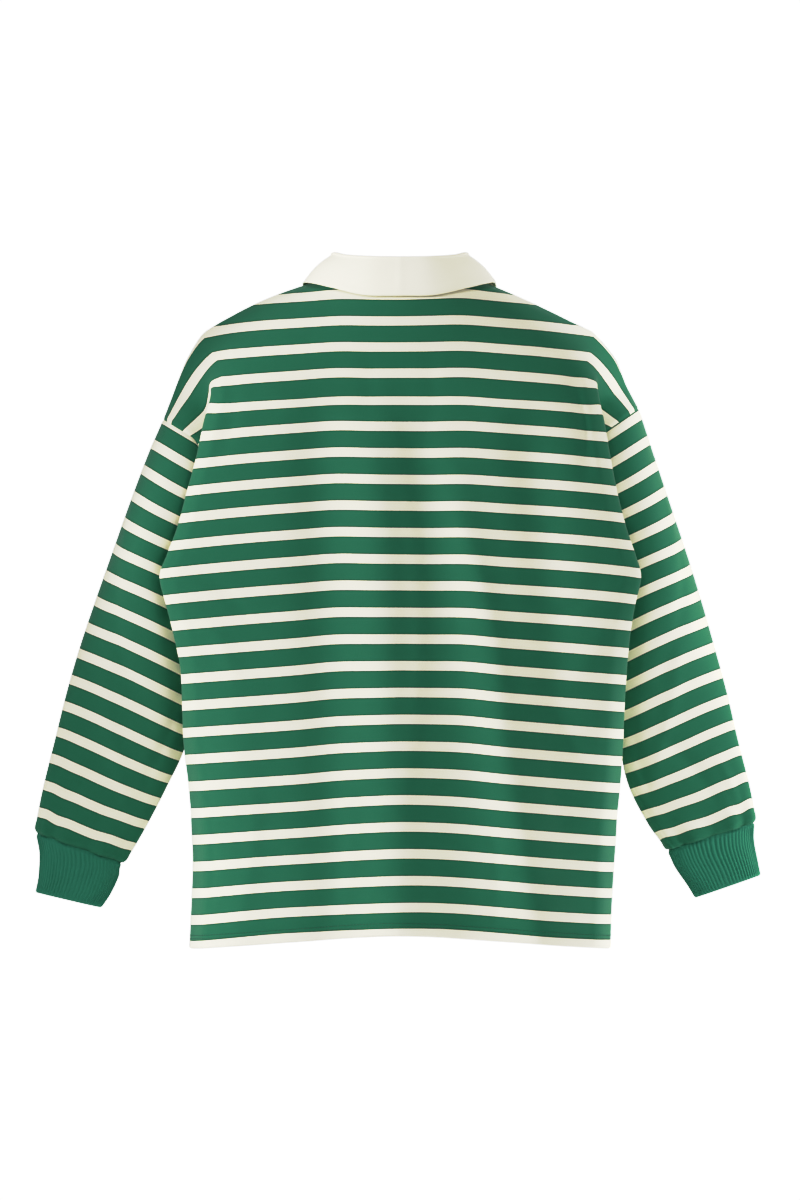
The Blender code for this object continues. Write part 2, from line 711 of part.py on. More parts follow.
def cuff_mesh(name, side):
    """A cuff: many narrow ribs outside, a plain inside, and two flat rims that join them."""
    mesh = bmesh.new()

    def rings(columns, ribbed):
        return [[mesh.verts.new(point * MM) for point in cuff_ring(side, t, columns, ribbed)]
                for t in CUFF_ROWS]

    outside, inside = rings(2 * RIBS, True), rings(CUFF_INSIDE_COLUMNS, False)
    for face in (outside, inside):
        for upper, lower in zip(face, face[1:]):
            for j in range(len(upper)):
                mesh.faces.new((upper[j - 1], lower[j - 1], lower[j], upper[j]))
    per_inner = 2 * RIBS // CUFF_INSIDE_COLUMNS
    for outer_rim, inner_rim in ((outside[0], inside[0]), (outside[-1], inside[-1])):
        for k in range(CUFF_INSIDE_COLUMNS):
            run = [outer_rim[(k * per_inner + i) % (2 * RIBS)] for i in range(per_inner + 1)]
            mesh.faces.new(run + [inner_rim[(k + 1) % CUFF_INSIDE_COLUMNS], inner_rim[k]])
    return finished_mesh(name, mesh)


# ---- placket and buttons -------------------------------------------------------------------------
def point_across(line, x):
    """The point of a row at a distance from the centre, on its straight facets."""
    for a, b in zip(line, line[1:]):
        if b.x <= x <= a.x and a.x > b.x:
            return a.lerp(b, (x - a.x) / (b.x - a.x))
    raise ValueError("the row does not reach that far")


def placket_grid(front, half_width, length_change):
    """Points of the front panel down the slash, made longer or shorter than it at the foot."""
    xs = [half_width * share for share in (1, 0.5, 0, -0.5, -1)]
    rows = [[point_across(line, x) for x in xs] for line in front[:PLACKET_ROWS + 2]]
    foot, beyond = rows[PLACKET_ROWS], rows.pop()
    if length_change > 0:
        share = length_change / (foot[0] - beyond[0]).length
        rows.append([a.lerp(b, share) for a, b in zip(foot, beyond)])
    else:
        above = rows[PLACKET_ROWS - 1]
        share = -length_change / (foot[0] - above[0]).length
        rows[PLACKET_ROWS] = [a.lerp(b, share) for a, b in zip(foot, above)]
    return rows


def add_placket(collection, front):
    """The strip that fills the slash and the one that lies over it; gives the upper strip's face."""
    filling = placket_grid(front, PLACKET_HALF_WIDTH - SEAM_GAP, -SEAM_GAP)
    under = Cloth("placket_under", filling, JERSEY_WALL)
    add_piece(under.name, wall_mesh(under.name, *under.build({}), False), collection, CREAM, COTTON_ROUGHNESS)
    cover = placket_grid(front, PLACKET_HALF_WIDTH + PLACKET_OVERLAP, PLACKET_TAIL)
    upper = Cloth("placket_upper", cover, JERSEY_WALL)

    def lifted(height):
        return [[point + normal * height for point, normal in zip(line, normals)]
                for line, normals in zip(upper.grid, upper.normals)]

    face = lifted(SEAM_GAP + JERSEY_WALL)
    mesh = wall_mesh(upper.name, face, lifted(SEAM_GAP), False)
    add_piece(upper.name, mesh, collection, CREAM, COTTON_ROUGHNESS)
    return face


def add_button(name, collection, strip, row):
    """A round button that lies on the upper strip."""
    centre = len(strip[0]) // 2
    upper, lower = strip[int(row)], strip[int(row) + 1]
    here = upper[centre].lerp(lower[centre], row - int(row))
    out = (upper[0] - upper[-1]).cross(upper[centre] - lower[centre]).normalized()
    mesh = bmesh.new()
    bmesh.ops.create_cone(mesh, cap_ends=True, segments=20, radius1=BUTTON_RADIUS * MM,
                          radius2=BUTTON_RADIUS * MM, depth=BUTTON_HEIGHT * MM)
    made = add_piece(name, finished_mesh(name, mesh), collection, CREAM, BUTTON_ROUGHNESS)
    made.rotation_euler = out.to_track_quat("Z", "Y").to_euler()
    made.location = (here + out * (SEAM_GAP + BUTTON_HEIGHT / 2)) * MM
    rim = made.modifiers.new("rounded rim", "BEVEL")
    rim.width = BUTTON_RIM * MM
    rim.segments = 2
    rim.limit_method = "ANGLE"


# ---- collar --------------------------------------------------------------------------------------
def neck_rim(piece, walls):
    """The panel's rim on the neck seam: each column's turn, outer and inner point and the way up off it."""
    panel = BACK if piece.name == "back_panel" else FRONT
    outer, inner = walls
    into = piece.into_cloth()
    rims = {}
    for side in (LEFT, RIGHT):
        rims[side] = []
        for i, turn in enumerate(neck_turns(panel)):
            column = MIDDLE - side * i
            up = -into[0, column].normalized()
            rims[side].append((turn, outer[0][column], inner[0][column], up))
    return rims


def on_rim(rims, turn):
    """A place on the straight runs of a rim: its outer and inner point and the way up off it."""
    rims = sorted(rims, key=lambda entry: entry[0])
    for (low, *first), (high, *second) in zip(rims, rims[1:]):
        if low <= turn <= high:
            return [a.lerp(b, (turn - low) / (high - low)) for a, b in zip(first, second)]
    raise ValueError("the rim does not reach that far")


def tree_of(face, flip):
    """A search tree over the outer face of a wall, its normals out of the cloth."""
    columns = len(face[0])
    faces = []
    for i in range(len(face) - 1):
        for j in range(columns - 1):
            a = i * columns + j
            ring = (a, a + columns, a + columns + 1, a + 1)
            faces.append(ring if flip == BACK else ring[::-1])
    return BVHTree.FromPolygons([point for line in face for point in line], faces)


def seated(point, trees):
    """The point, moved out where the collar would sink into the shirt under it."""
    need = COLLAR_REST + COLLAR_WALL
    for _ in range(3):
        for tree in trees:
            nearest, normal, _, _ = tree.find_nearest(point)
            height = (point - nearest).dot(normal)
            aside = (point - nearest - normal * height).length
            if height < need and aside < need:
                point = point + normal * (need - height)
    return point


def collar_section(turn, side, foot, trees):
    """Visible face of the collar in one section: up the stand, over the fold and down the fall."""
    fold, edge = (Vector([read(COLLAR, f"{line}_{axis}", turn) for axis in "xyz"])
                  for line in ("fold", "edge"))
    fold.x *= side
    edge.x *= side
    out = Vector((edge.x - fold.x, edge.y - fold.y, 0)).normalized()
    centre = fold - Vector((0, 0, FOLD_RADIUS))
    stand, start = centre - out * FOLD_RADIUS, centre + out * FOLD_RADIUS
    points = [foot, foot.lerp(stand, 0.5), stand]
    for angle in FOLD_ANGLES:
        points.append(centre - out * FOLD_RADIUS * math.cos(math.radians(angle))
                      + Vector((0, 0, FOLD_RADIUS * math.sin(math.radians(angle)))))
    points.append(start)
    for share in FALL_SHARES:
        bulge = COLLAR_BULGE * math.sin(math.pi * share)
        points.append(seated(start.lerp(edge, share) + out * bulge + Vector((0, 0, bulge)), trees))
    return points


def collar_turns():
    """Degrees of the collar's columns on one side: the neck's own corners and one between each two."""
    corners = sorted(set(neck_turns(BACK)) | {turn for turn in neck_turns(FRONT) if turn < COLLAR_END})
    turns = []
    for low, high in zip(corners, corners[1:]):
        turns += [low, (low + high) / 2]
    return turns + [corners[-1], COLLAR_END]


def add_collar(collection, rims, trees):
    places = [(turn, LEFT) for turn in reversed(collar_turns())]
    places += [(turn, RIGHT) for turn in collar_turns()[1:]]
    feet = []
    for turn, side in places:
        met = [on_rim(rims[panel][side], turn) for panel in (BACK, FRONT)
               if (panel == BACK and turn <= 90) or (panel == FRONT and turn >= 90)]
        outer, inner, up = (sum(parts, Vector()) / len(met) for parts in zip(*met))
        lift = up.normalized() * (SEAM_GAP * (1 if len(met) == 1 else 1.5))
        feet.append((outer + lift, inner + lift))
    columns = [collar_section(turn, side, foot[1], trees) for (turn, side), foot in zip(places, feet)]
    collar = Cloth("collar", [list(line) for line in zip(*columns)], COLLAR_WALL)
    face, back = collar.build({})
    back[0] = [foot[0] for foot in feet]
    add_piece(collar.name, wall_mesh(collar.name, face, back, False), collection, CREAM, COTTON_ROUGHNESS)


# ---- the shirt -----------------------------------------------------------------------------------
def main():
    for item in list(bpy.data.objects):
        bpy.data.objects.remove(item)
    collection = bpy.data.collections.new("rugby_shirt")
    bpy.context.scene.collection.children.link(collection)

    pieces, shared = jersey_pieces()
    walls = {piece.name: piece.build(shared) for piece in pieces}
    for piece in pieces:
        faces = walls[piece.name]
        if not piece.wrap:
            faces = add_hem_turn(*faces)
        mesh = wall_mesh(piece.name, *faces, piece.wrap, piece.skip)
        add_piece(piece.name, mesh, collection, GREEN, JERSEY_ROUGHNESS)

    for side in (LEFT, RIGHT):
        name = f"cuff_{side_name(side)}"
        add_piece(name, cuff_mesh(name, side), collection, GREEN, JERSEY_ROUGHNESS)

    front_face = walls["front_panel"][0]
    strip = add_placket(collection, front_face)
    for name, row in zip(("button_top", "button_middle", "button_lower"), BUTTON_ROWS):
        add_button(name, collection, strip, row)

    back, front = pieces[:2]
    rims = {BACK: neck_rim(back, walls[back.name]), FRONT: neck_rim(front, walls[front.name])}
    trees = [tree_of(walls["back_panel"][0], BACK), tree_of(front_face, FRONT), tree_of(strip, FRONT)]
    add_collar(collection, rims, trees)


main()
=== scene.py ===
"""Looks of the long-sleeved rugby shirt: its cloth, buttons and stitching, and the studio.

The shirt's frame is that of its solids: +Z up, the back faces +Y, the wearer's left is +X, and the origin
lies midway between the high points of the shoulders. Sizes are in millimetres until a mesh is made.
"""
import math

import bmesh
import bpy
import numpy as np
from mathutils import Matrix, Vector
from mathutils.bvhtree import BVHTree


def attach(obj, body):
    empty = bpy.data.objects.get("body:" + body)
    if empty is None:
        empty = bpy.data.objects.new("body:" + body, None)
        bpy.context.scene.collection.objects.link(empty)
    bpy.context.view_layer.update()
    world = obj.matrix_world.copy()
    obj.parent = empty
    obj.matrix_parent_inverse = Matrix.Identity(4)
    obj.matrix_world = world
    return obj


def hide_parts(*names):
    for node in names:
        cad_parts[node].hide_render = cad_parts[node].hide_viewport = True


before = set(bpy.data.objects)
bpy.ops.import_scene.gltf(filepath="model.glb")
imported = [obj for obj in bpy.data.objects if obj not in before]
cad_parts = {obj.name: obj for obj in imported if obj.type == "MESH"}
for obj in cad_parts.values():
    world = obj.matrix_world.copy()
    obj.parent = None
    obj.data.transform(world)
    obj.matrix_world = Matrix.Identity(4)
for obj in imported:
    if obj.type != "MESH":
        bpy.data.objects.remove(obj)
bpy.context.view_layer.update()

MM = 0.001
LEFT, RIGHT = 1, -1
BACK, FRONT = 1, -1

# ---- driving sizes -------------------------------------------------------------------------------
JERSEY_WALL = 1.8
SEAM_GAP = 0.3
NECK_HALF_WIDTH = 78.0
NECK_BACK_Y, NECK_FRONT_Y, NECK_SIDE_Y = 52.0, -72.0, 0.0
NECK_BACK_Z, NECK_FRONT_Z, NECK_SIDE_Z = -13.0, -78.0, 2.0
NECK_BACK_DIP, NECK_FRONT_DIP = 1.6, 1.35   # powers of the neck curve's fall from the side to the middle
CAP_HEIGHT = 122.0          # how much lower the underarm is than the top of the sleeve cap, along the sleeve
CAP_STARTS = 85.0           # degrees round the armhole at which the cap seam leaves the straight
BODY_ROUNDNESS = 2.3        # power of the body's section, where 2 is an ellipse
TUBE_ROUNDNESS = 0.92       # power of a sleeve's section, where 1 is an ellipse
FRONT_NARROWER = 5.0        # how far the front's fold at the side lies inside the back's
HEM_TURN = 20.0             # height of the hem's inner layer
PLACKET_HALF_WIDTH = 15.0
PLACKET_OVERLAP = 2.0       # how far the upper strip covers the panel on each side
PLACKET_TAIL = 8.0          # how far the upper strip runs on below the slash
PLACKET_ROWS = 6            # rows of the front panel that the slash is long
BUTTON_ROWS = (1.2, 3.4, 5.0)               # rows of the front panel at which the buttons sit
COLLAR_REST = 1.6           # air between the collar's fall and the shirt under it
COLLAR_END = 174            # degrees from the centre back at which each end of the collar stops
COLLAR_BULGE = 2.0          # outward roundness of the fall
FOLD_RADIUS = 2.9           # of the collar's visible face round its fold
RIBS = 64                   # round each cuff


def table(names, *rows):
    """A short table whose rows are read by the names of their columns."""
    return [dict(zip(names.split(), row)) for row in rows]


def read(rows, column, at):
    """A column's value at a place on the table's first column, on a smooth curve through the rows."""
    key = next(iter(rows[0]))
    places = [row[key] for row in rows]
    values = [row[column] for row in rows]
    last = len(rows) - 1
    if at <= places[0]:
        return values[0]
    if at >= places[last]:
        return values[last]
    span = next(i for i in range(last) if at <= places[i + 1])

    def slope(i):
        before, after = max(i - 1, 0), min(i + 1, last)
        return (values[after] - values[before]) / (places[after] - places[before])

    width = places[span + 1] - places[span]
    t = (at - places[span]) / width
    rise = values[span + 1] - values[span]
    a = slope(span) * width - rise
    b = rise - slope(span + 1) * width
    return values[span] + t * rise + t * (1 - t) * ((1 - t) * a + t * b)


# Rows of both body panels. A row follows one course of the knit: q is how far the course lies below the high
# point of the shoulder, and turn is the place on the armhole in degrees from its top (180 is the underarm).
# The side of the body folds out to a soft ridge over the sleeve and tucks back to the seam behind it: ridge_y
# is the ridge's depth, ridge_in and seam_in lie inside the outline, tuck_out and tuck_up place the tuck from
# the seam, outwards and away from the middle of the side, and tuck_fall is its share of the drop from the
# ridge to the seam.
ROWS = table(
    "row q turn ridge_y ridge_in tuck_out tuck_up tuck_fall seam_in",
    (0, 50, 0, 30, 0, -24, -6, 0.62, 0),
    (1, 62, 30, 38, 0, -24, -6, 0.62, 0),
    (2, 84, 60, 46, 0, -24, -6, 0.62, 0),
    (3, 112, 90, 54, 0, -24, -6, 0.62, 0),
    (4, 143, 100, 60, 0, -16, -3.5, 0.65, 0),
    (5, 180, 110, 64, 0, -10, 1.4, 0.60, 0),
    (6, 217, 124, 68, 0, -4.7, 4.7, 0.50, 0),
    (7, 252, 141, 71, 0, 0, 9.5, 0.50, 0),
    (8, 280, 160, 74, 0, 2.5, 16.5, 0.50, 0),
    (9, 302, 180, 75, 0, 3, 37, 0.50, 25),
    (10, 330, 180, 73, 0, 1, 37, 0.50, 22.5),
    (11, 362, 180, 68, 0, 2, 35, 0.50, 20),
    (12, 400, 180, 58, 0, 3, 30, 0.50, 17),
    (13, 440, 180, 46, 0, 4, 24, 0.50, 15),
    (14, 480, 180, 34, 0.3, 4, 17, 0.50, 11),
    (15, 520, 180, 29, 1.2, 1.5, 14, 0.50, 4),
    (16, 560, 180, 30, 2.0, -0.3, 15, 0.50, 0.3),
    (17, 600, 180, 31, 2.2, -0.5, 16, 0.50, 0),
    (18, 640, 180, 32, 2.2, -0.5, 16, 0.50, 0),
    (19, 672, 180, 33, 2.2, -0.5, 17, 0.50, 0),
    (20, 697, 180, 33, 2.2, -0.5, 17, 0.50, 0),
)
CAP_ROW, UNDERARM_ROW, WAIST_ROW, HEM_ROW = 3, 9, 17, 20
SEAM_MEETS = 3              # rows below the underarm over which the side seam comes to the middle of the side
WAIST_EASE = 5              # rows above the waist over which the front comes out as wide as the back

# Half widths of the body seen from behind, by depth below the shoulder.
OUTLINE = table(
    "fall left right",
    (95, 200, 206), (122, 200, 210), (150, 207, 216), (180, 214, 221), (205, 219, 226),
    (230, 227, 231), (254, 233, 237), (282, 243, 246), (300, 251, 253), (310, 254.4, 255.5),
    (320, 253, 253), (346, 247, 248.5), (381, 238.5, 243), (409, 233, 240.6), (449, 231, 238),
    (503, 229, 236), (538, 225, 234), (571, 222.6, 231), (606, 220, 228.6), (665, 221.5, 225),
    (710, 223.7, 223.7),
)

# Depth of the centre back and centre front.
PROFILE = table(
    "q back front",
    (40, 66, 62), (74, 78, 76), (112, 87, 88), (143, 92, 97), (180, 96.5, 105), (217, 99.5, 110),
    (252, 101.5, 112.5), (302, 103, 113), (362, 102, 110), (440, 99, 105), (520, 98, 102),
    (600, 101, 103), (672, 106, 106), (697, 108, 107),
)

# How much lower a course lies at the side than at the centre, and the power of its curve.
DROOP = table(
    "q side power",
    (40, 11.5, 1.7), (150, 11, 1.9), (300, 10, 2.1), (450, 13, 1.4), (560, 15, 1.1), (697, 14, 1.2),
)
DROOP_AT = 210.0            # distance from the centre at which the table holds
DROOP_PAST = 1.1            # the same for the outline, which lies a little further out

# Soft upright folds of the hung body: centre at the top and at the hem, where the fold fades in, its half
# width and its height.
FOLDS_BACK = table(
    "x_top x_low starts full half_width height",
    (89, 68, 80, 200, 29, -6.5),
    (34, 2, 90, 255, 28, 6.5),
    (-21, -82, 80, 200, 36, -6.5),
    (-15, -151, 80, 270, 24, 6.5),
    (-118, -200, 90, 220, 27, -6.0),
    (178, 178, 320, 500, 35, 5.0),
)
FOLDS_FRONT = table(
    "x_top x_low starts full half_width height",
    (-74, -64, 260, 420, 28, 3.8),
    (-22, -14, 280, 520, 20, -3.4),
    (44, 62, 260, 460, 26, 4.2),
    (92, 118, 240, 480, 24, -3.2),
    (168, 190, 200, 380, 30, 3.2),
    (-140, -150, 220, 420, 32, -2.8),
)

# The shoulder seam from the neck to the top of the armhole, by stations from the centre out.
SHOULDER = table(
    "station left_x left_y left_z right_x right_y right_z",
    (1, 78, 0, 2, 78, 0, 2),
    (2, 139, -2, -19, 136, -2, -22.5),
    (3, 180, -3, -39, 182, -4, -44.5),
    (4, 212, -2, -60, 208, -5, -58.5),
    (5, 226, 2, -83, 228, -7, -82),
    (6, 240, 4, -117, 241, -8, -112),
)
# How each panel leaves its upper edge: sideways and downwards for one step to the back or the front.
LEAVING = table(
    "station sideways steep_back steep_front",
    (0, 0, 1.1, 1.7),
    (1, 0.75, 0.4, 0.5),
    (2, 0.2, 0.35, 0.35),
    (3, 0, 0.45, 0.45),
    (4, 0, 0.6, 0.6),
    (5, 0, 0.75, 0.75),
)
CENTRE, RIDGE, TUCK, SEAM = 0, 5, 6, 7
ACROSS = (0.0, 0.47, 0.68, 0.84, 0.95)      # stations before the ridge as shares of the way to it
STEPS = (5, 3, 2, 2, 1, 2, 2)               # columns between one station and the next, from the centre out
MIDDLE = sum(STEPS)                         # the centre's column
SOFTENING = 3                               # passes that round a cap row past the corner of the neck

# Sleeve sections, by distance below the top of the cap: the outer edge, the slope of the section towards the
# body, its width along that slope and half its depth.
SLEEVE = {
    LEFT: table(
        "r x z slope width depth",
        (0, 251.8, -149.5, 31, 80, 42),
        (38, 267.1, -184.4, 29, 88, 56),
        (92, 286.2, -235.3, 28, 84, 63),
        (146, 304.2, -286.2, 26.5, 83, 62),
        (200, 322.2, -337.1, 25.5, 110, 51),
        (254, 339.2, -388.0, 24.5, 129, 36),
        (307, 354.0, -438.8, 24, 138, 23),
        (360, 366.8, -489.7, 23, 129, 16),
        (412, 379.5, -540.6, 21.5, 117, 13),
        (451, 386.9, -578.8, 20, 104, 12),
        (461, 387.3, -589.0, 19.4, 97, 11.5),
    ),
    RIGHT: table(
        "r x z slope width depth",
        (0, 253.9, -137.8, 34, 82, 42),
        (49, 269.2, -184.4, 29.5, 88, 58),
        (103, 286.2, -235.3, 27.5, 83, 63),
        (156, 303.2, -286.2, 26, 82, 62),
        (210, 319.1, -337.1, 25, 100, 51),
        (263, 333.9, -388.0, 24, 116, 36),
        (315, 347.7, -438.8, 23, 125, 23),
        (368, 359.3, -489.7, 22, 126, 16),
        (420, 372.1, -540.6, 20, 115, 13),
        (449, 377.6, -569.0, 18.5, 103, 12),
        (458, 377.9, -578.2, 17.7, 98, 11.5),
    ),
}
SLEEVE_Y = {LEFT: 4.0, RIGHT: -5.0}

# Cuff sections from the sleeve seam to the opening.
CUFF = {
    LEFT: table(
        "t x z slope width depth",
        (0, 387.0, -589.4, 19.4, 97, 11.5),
        (0.12, 385.6, -596.0, 18.6, 93, 11.5),
        (0.35, 383.0, -610.0, 16.8, 88, 11.0),
        (0.70, 383.9, -634.0, 14.6, 79, 10.5),
        (1, 387.6, -652.0, 13.3, 72, 10.5),
    ),
    RIGHT: table(
        "t x z slope width depth",
        (0, 377.7, -578.6, 17.7, 98, 11.5),
        (0.12, 376.5, -585.0, 17.8, 94, 11.5),
        (0.35, 376.4, -598.5, 18.2, 88, 11.0),
        (0.70, 380.3, -619.0, 18.8, 79, 10.5),
        (1, 383.7, -633.9, 19.2, 74, 10.5),
    ),
}

# Collar by degrees round the neck from the centre back: the top of its fold and its outer edge.
COLLAR = table(
    "turn fold_x fold_y fold_z edge_x edge_y edge_z",
    (0, 0, 45, 23, 0, 60, -19),
    (25, 31, 41, 23.5, 38, 57, -18),
    (50, 57, 25, 25.5, 72, 42, -10),
    (75, 69.5, 4, 28.5, 96, 20, -4),
    (90, 71, -11, 26, 103, -4, -5),
    (110, 67, -31, 14, 103, -34, -22),
    (135, 50, -52, -14, 93, -66, -60),
    (160, 24, -66, -42, 70, -88, -102),
    (174, 8, -70, -51, 52, -98, -126),
)


def hermite(start, end, start_pull, end_pull, t):
    """A smooth curve between two points that leaves and arrives along the two pulls."""
    return (start * (1 + 2 * t) * (1 - t) ** 2 + start_pull * t * (1 - t) ** 2
            + end * t * t * (3 - 2 * t) - end_pull * t * t * (1 - t))


def ease(t):
    """A smooth step from 0 to 1."""
    t = min(max(t, 0.0), 1.0)
    return t * t * (3 - 2 * t)


def rising(values, start, full):
    """From 0 at the start to 1 where it is full, held beyond them; it falls if full comes before start."""
    return np.clip((values - start) / (full - start), 0, 1)


def bell(values, width):
    return np.exp(-(values / width) ** 2)


def side_name(side):
    return "left" if side == LEFT else "right"


# ---- sleeve and cuff sections --------------------------------------------------------------------
def rounded(value):
    """A cosine or sine drawn out a little, for a section fuller than an ellipse."""
    return math.copysign(abs(value) ** TUBE_ROUNDNESS, value)


def ring_point(sections, side, at, turn):
    """A point of a flattened tube: turn is 0 at its outer edge, 90 at the back, 180 inside, -90 in front."""
    slope = math.radians(read(sections, "slope", at))
    angle = math.radians(turn)
    along = read(sections, "width", at) / 2 * (rounded(math.cos(angle)) - 1)
    depth = read(sections, "depth", at) * rounded(math.sin(angle))
    x = read(sections, "x", at) + along * math.cos(slope)
    z = read(sections, "z", at) + along * math.sin(slope)
    return Vector((side * x, SLEEVE_Y[side] + depth, z))


def cap_fall(turn):
    """How far below the top of the cap the armhole seam lies, along the sleeve."""
    return CAP_HEIGHT * ease((abs(turn) - CAP_STARTS) / (180 - CAP_STARTS))


def sleeve_point(side, share, turn):
    """A point of the sleeve, from the armhole seam (share 0) to the cuff seam (share 1)."""
    length = SLEEVE[side][-1]["r"]
    start = cap_fall(turn)
    return ring_point(SLEEVE[side], side, start + share * (length - start), turn)


# ---- body sections -------------------------------------------------------------------------------
def droop(q, x):
    """How much lower the course q lies at a distance from the centre than at the centre."""
    return read(DROOP, "side", q) * (abs(x) / DROOP_AT) ** read(DROOP, "power", q)


def upright_folds(folds, q, x):
    """Relief of the soft folds of a panel, out of its surface, at arrays of places."""
    relief = np.zeros(x.shape)
    for fold in folds:
        centre = fold["x_top"] + (fold["x_low"] - fold["x_top"]) * q / ROWS[HEM_ROW]["q"]
        fade = rising(q, fold["starts"], fold["full"])
        relief += fold["height"] * fade ** 2 * (3 - 2 * fade) * bell(x - centre, fold["half_width"])
    return relief


def outline(side, q):
    """Half width of the body where the course q reaches its side."""
    return read(OUTLINE, side_name(side), q + read(DROOP, "side", q) * DROOP_PAST)


def seam_point(panel, side, row):
    """The edge of a panel: on the armhole down to the underarm, then down the side seam."""
    turn = panel * read(ROWS, "turn", min(row, UNDERARM_ROW))
    armhole = sleeve_point(side, 0, turn)
    if row <= UNDERARM_ROW:
        return armhole
    q = read(ROWS, "q", row)
    x = outline(side, q) - read(ROWS, "seam_in", row)
    apart = 1 - ease((row - UNDERARM_ROW) / SEAM_MEETS)
    top_q = ROWS[UNDERARM_ROW]["q"]
    step = armhole.z + top_q + droop(top_q, abs(armhole.x))
    return Vector((side * x, armhole.y * apart, -q - droop(q, x) + step * apart))


def section_point(panel, side, station, row):
    """A station of one row of a panel below the shoulder cap."""
    if station == SEAM:
        return seam_point(panel, side, row)
    q = read(ROWS, "q", row)
    half_width = outline(side, q)
    if panel == FRONT:
        half_width -= FRONT_NARROWER * ease((WAIST_ROW - row) / WAIST_EASE)
    ridge_x = half_width - read(ROWS, "ridge_in", row)
    ridge_y = read(ROWS, "ridge_y", row)
    ridge_z = -q - droop(q, ridge_x)
    if station == RIDGE:
        return Vector((side * ridge_x, panel * ridge_y, ridge_z))
    if station == TUCK:
        seam = seam_point(panel, side, row)
        z = ridge_z + (seam.z - ridge_z) * read(ROWS, "tuck_fall", row)
        x, y = seam.x + side * read(ROWS, "tuck_out", row), seam.y + panel * read(ROWS, "tuck_up", row)
        return Vector((x, y, z))
    share = ACROSS[station]
    x = share * ridge_x
    centre_y = read(PROFILE, "back" if panel == BACK else "front", q)
    bulge = (1 - share ** BODY_ROUNDNESS) ** (1 / BODY_ROUNDNESS)
    return Vector((side * x, panel * (ridge_y + (centre_y - ridge_y) * bulge), -q - droop(q, x)))


def neck_point(turn, side):
    """The neck seam, by degrees from the centre back."""
    angle = math.radians(turn)
    lean = abs(math.cos(angle))
    y, z, dip = NECK_BACK_Y, NECK_BACK_Z, NECK_BACK_DIP
    if turn > 90:
        y, z, dip = NECK_FRONT_Y, NECK_FRONT_Z, NECK_FRONT_DIP
    return Vector((side * NECK_HALF_WIDTH * math.sin(angle),
                   NECK_SIDE_Y + (y - NECK_SIDE_Y) * lean,
                   NECK_SIDE_Z + (z - NECK_SIDE_Z) * lean ** dip))


def neck_turns(panel):
    """Where the neck seam crosses the panel's columns, in degrees, from the centre to the shoulder."""
    if panel == BACK:
        return [90 * i / STEPS[0] for i in range(STEPS[0] + 1)]
    slash = 180 - math.degrees(math.asin(PLACKET_HALF_WIDTH / NECK_HALF_WIDTH))
    return [180] + [slash + (90 - slash) * i / (STEPS[0] - 1) for i in range(STEPS[0])]


def top_edge(side, station):
    """Stations of the shoulder seam, from the neck to the armhole."""
    if station == SEAM:
        return sleeve_point(side, 0, 0)
    name = side_name(side)
    x, y, z = (read(SHOULDER, f"{name}_{axis}", station) for axis in "xyz")
    return Vector((side * x, y, z))


def spline(points, counts):
    """A smooth line through the points, with the given number of steps between each two."""
    line = [points[0]]
    for i, count in enumerate(counts):
        before = points[i - 1] if i else points[0] * 2 - points[1]
        after = points[i + 2] if i + 2 < len(points) else points[-1] * 2 - points[-2]
        knots = [0.0]
        for a, b in ((before, points[i]), (points[i], points[i + 1]), (points[i + 1], after)):
            knots.append(knots[-1] + (b - a).length ** 0.5)
        for step in range(1, count + 1):
            t = knots[1] + (knots[2] - knots[1]) * step / count
            line.append(catmull((before, points[i], points[i + 1], after), knots, t))
    return line


def catmull(points, knots, t):
    """The curve through the middle two of four points, whose knots are spread by their distances."""
    def between(a, b, low, high):
        return a * ((high - t) / (high - low)) + b * ((t - low) / (high - low))

    p0, p1, p2, p3 = points
    k0, k1, k2, k3 = knots
    first, second, third = between(p0, p1, k0, k1), between(p1, p2, k1, k2), between(p2, p3, k2, k3)
    return between(between(first, second, k0, k2), between(second, third, k1, k3), k1, k2)


def section_row(panel, row):
    """A row of the panel below the shoulder cap, through its stations."""
    stations = [section_point(panel, LEFT, station, row) for station in range(SEAM, CENTRE, -1)]
    stations += [section_point(panel, RIGHT, station, row) for station in range(SEAM + 1)]
    return spline(stations, STEPS[::-1] + STEPS)


def upper_edge(panel):
    """The panel's first row: a shoulder seam, the neck and the other shoulder seam."""
    neck = [neck_point(turn, LEFT) for turn in reversed(neck_turns(panel))]
    neck += [neck_point(turn, RIGHT) for turn in neck_turns(panel)[1:]]
    left, right = (spline([top_edge(side, station) for station in range(CENTRE + 1, SEAM + 1)], STEPS[1:])
                   for side in (LEFT, RIGHT))
    return left[:0:-1] + neck + right[1:]


def station_of(column):
    """Where a column lies among the stations, counted from the centre out."""
    beyond = abs(column - MIDDLE)
    for station, count in enumerate(STEPS):
        if beyond <= count:
            return station + beyond / count
        beyond -= count
    raise ValueError("the panel is not that wide")


def softened(line):
    """The line with each inner point moved half way to the middle of its neighbours."""
    inner = [(a + b * 2 + c) / 4 for a, b, c in zip(line, line[1:], line[2:])]
    return [line[0]] + inner + [line[-1]]


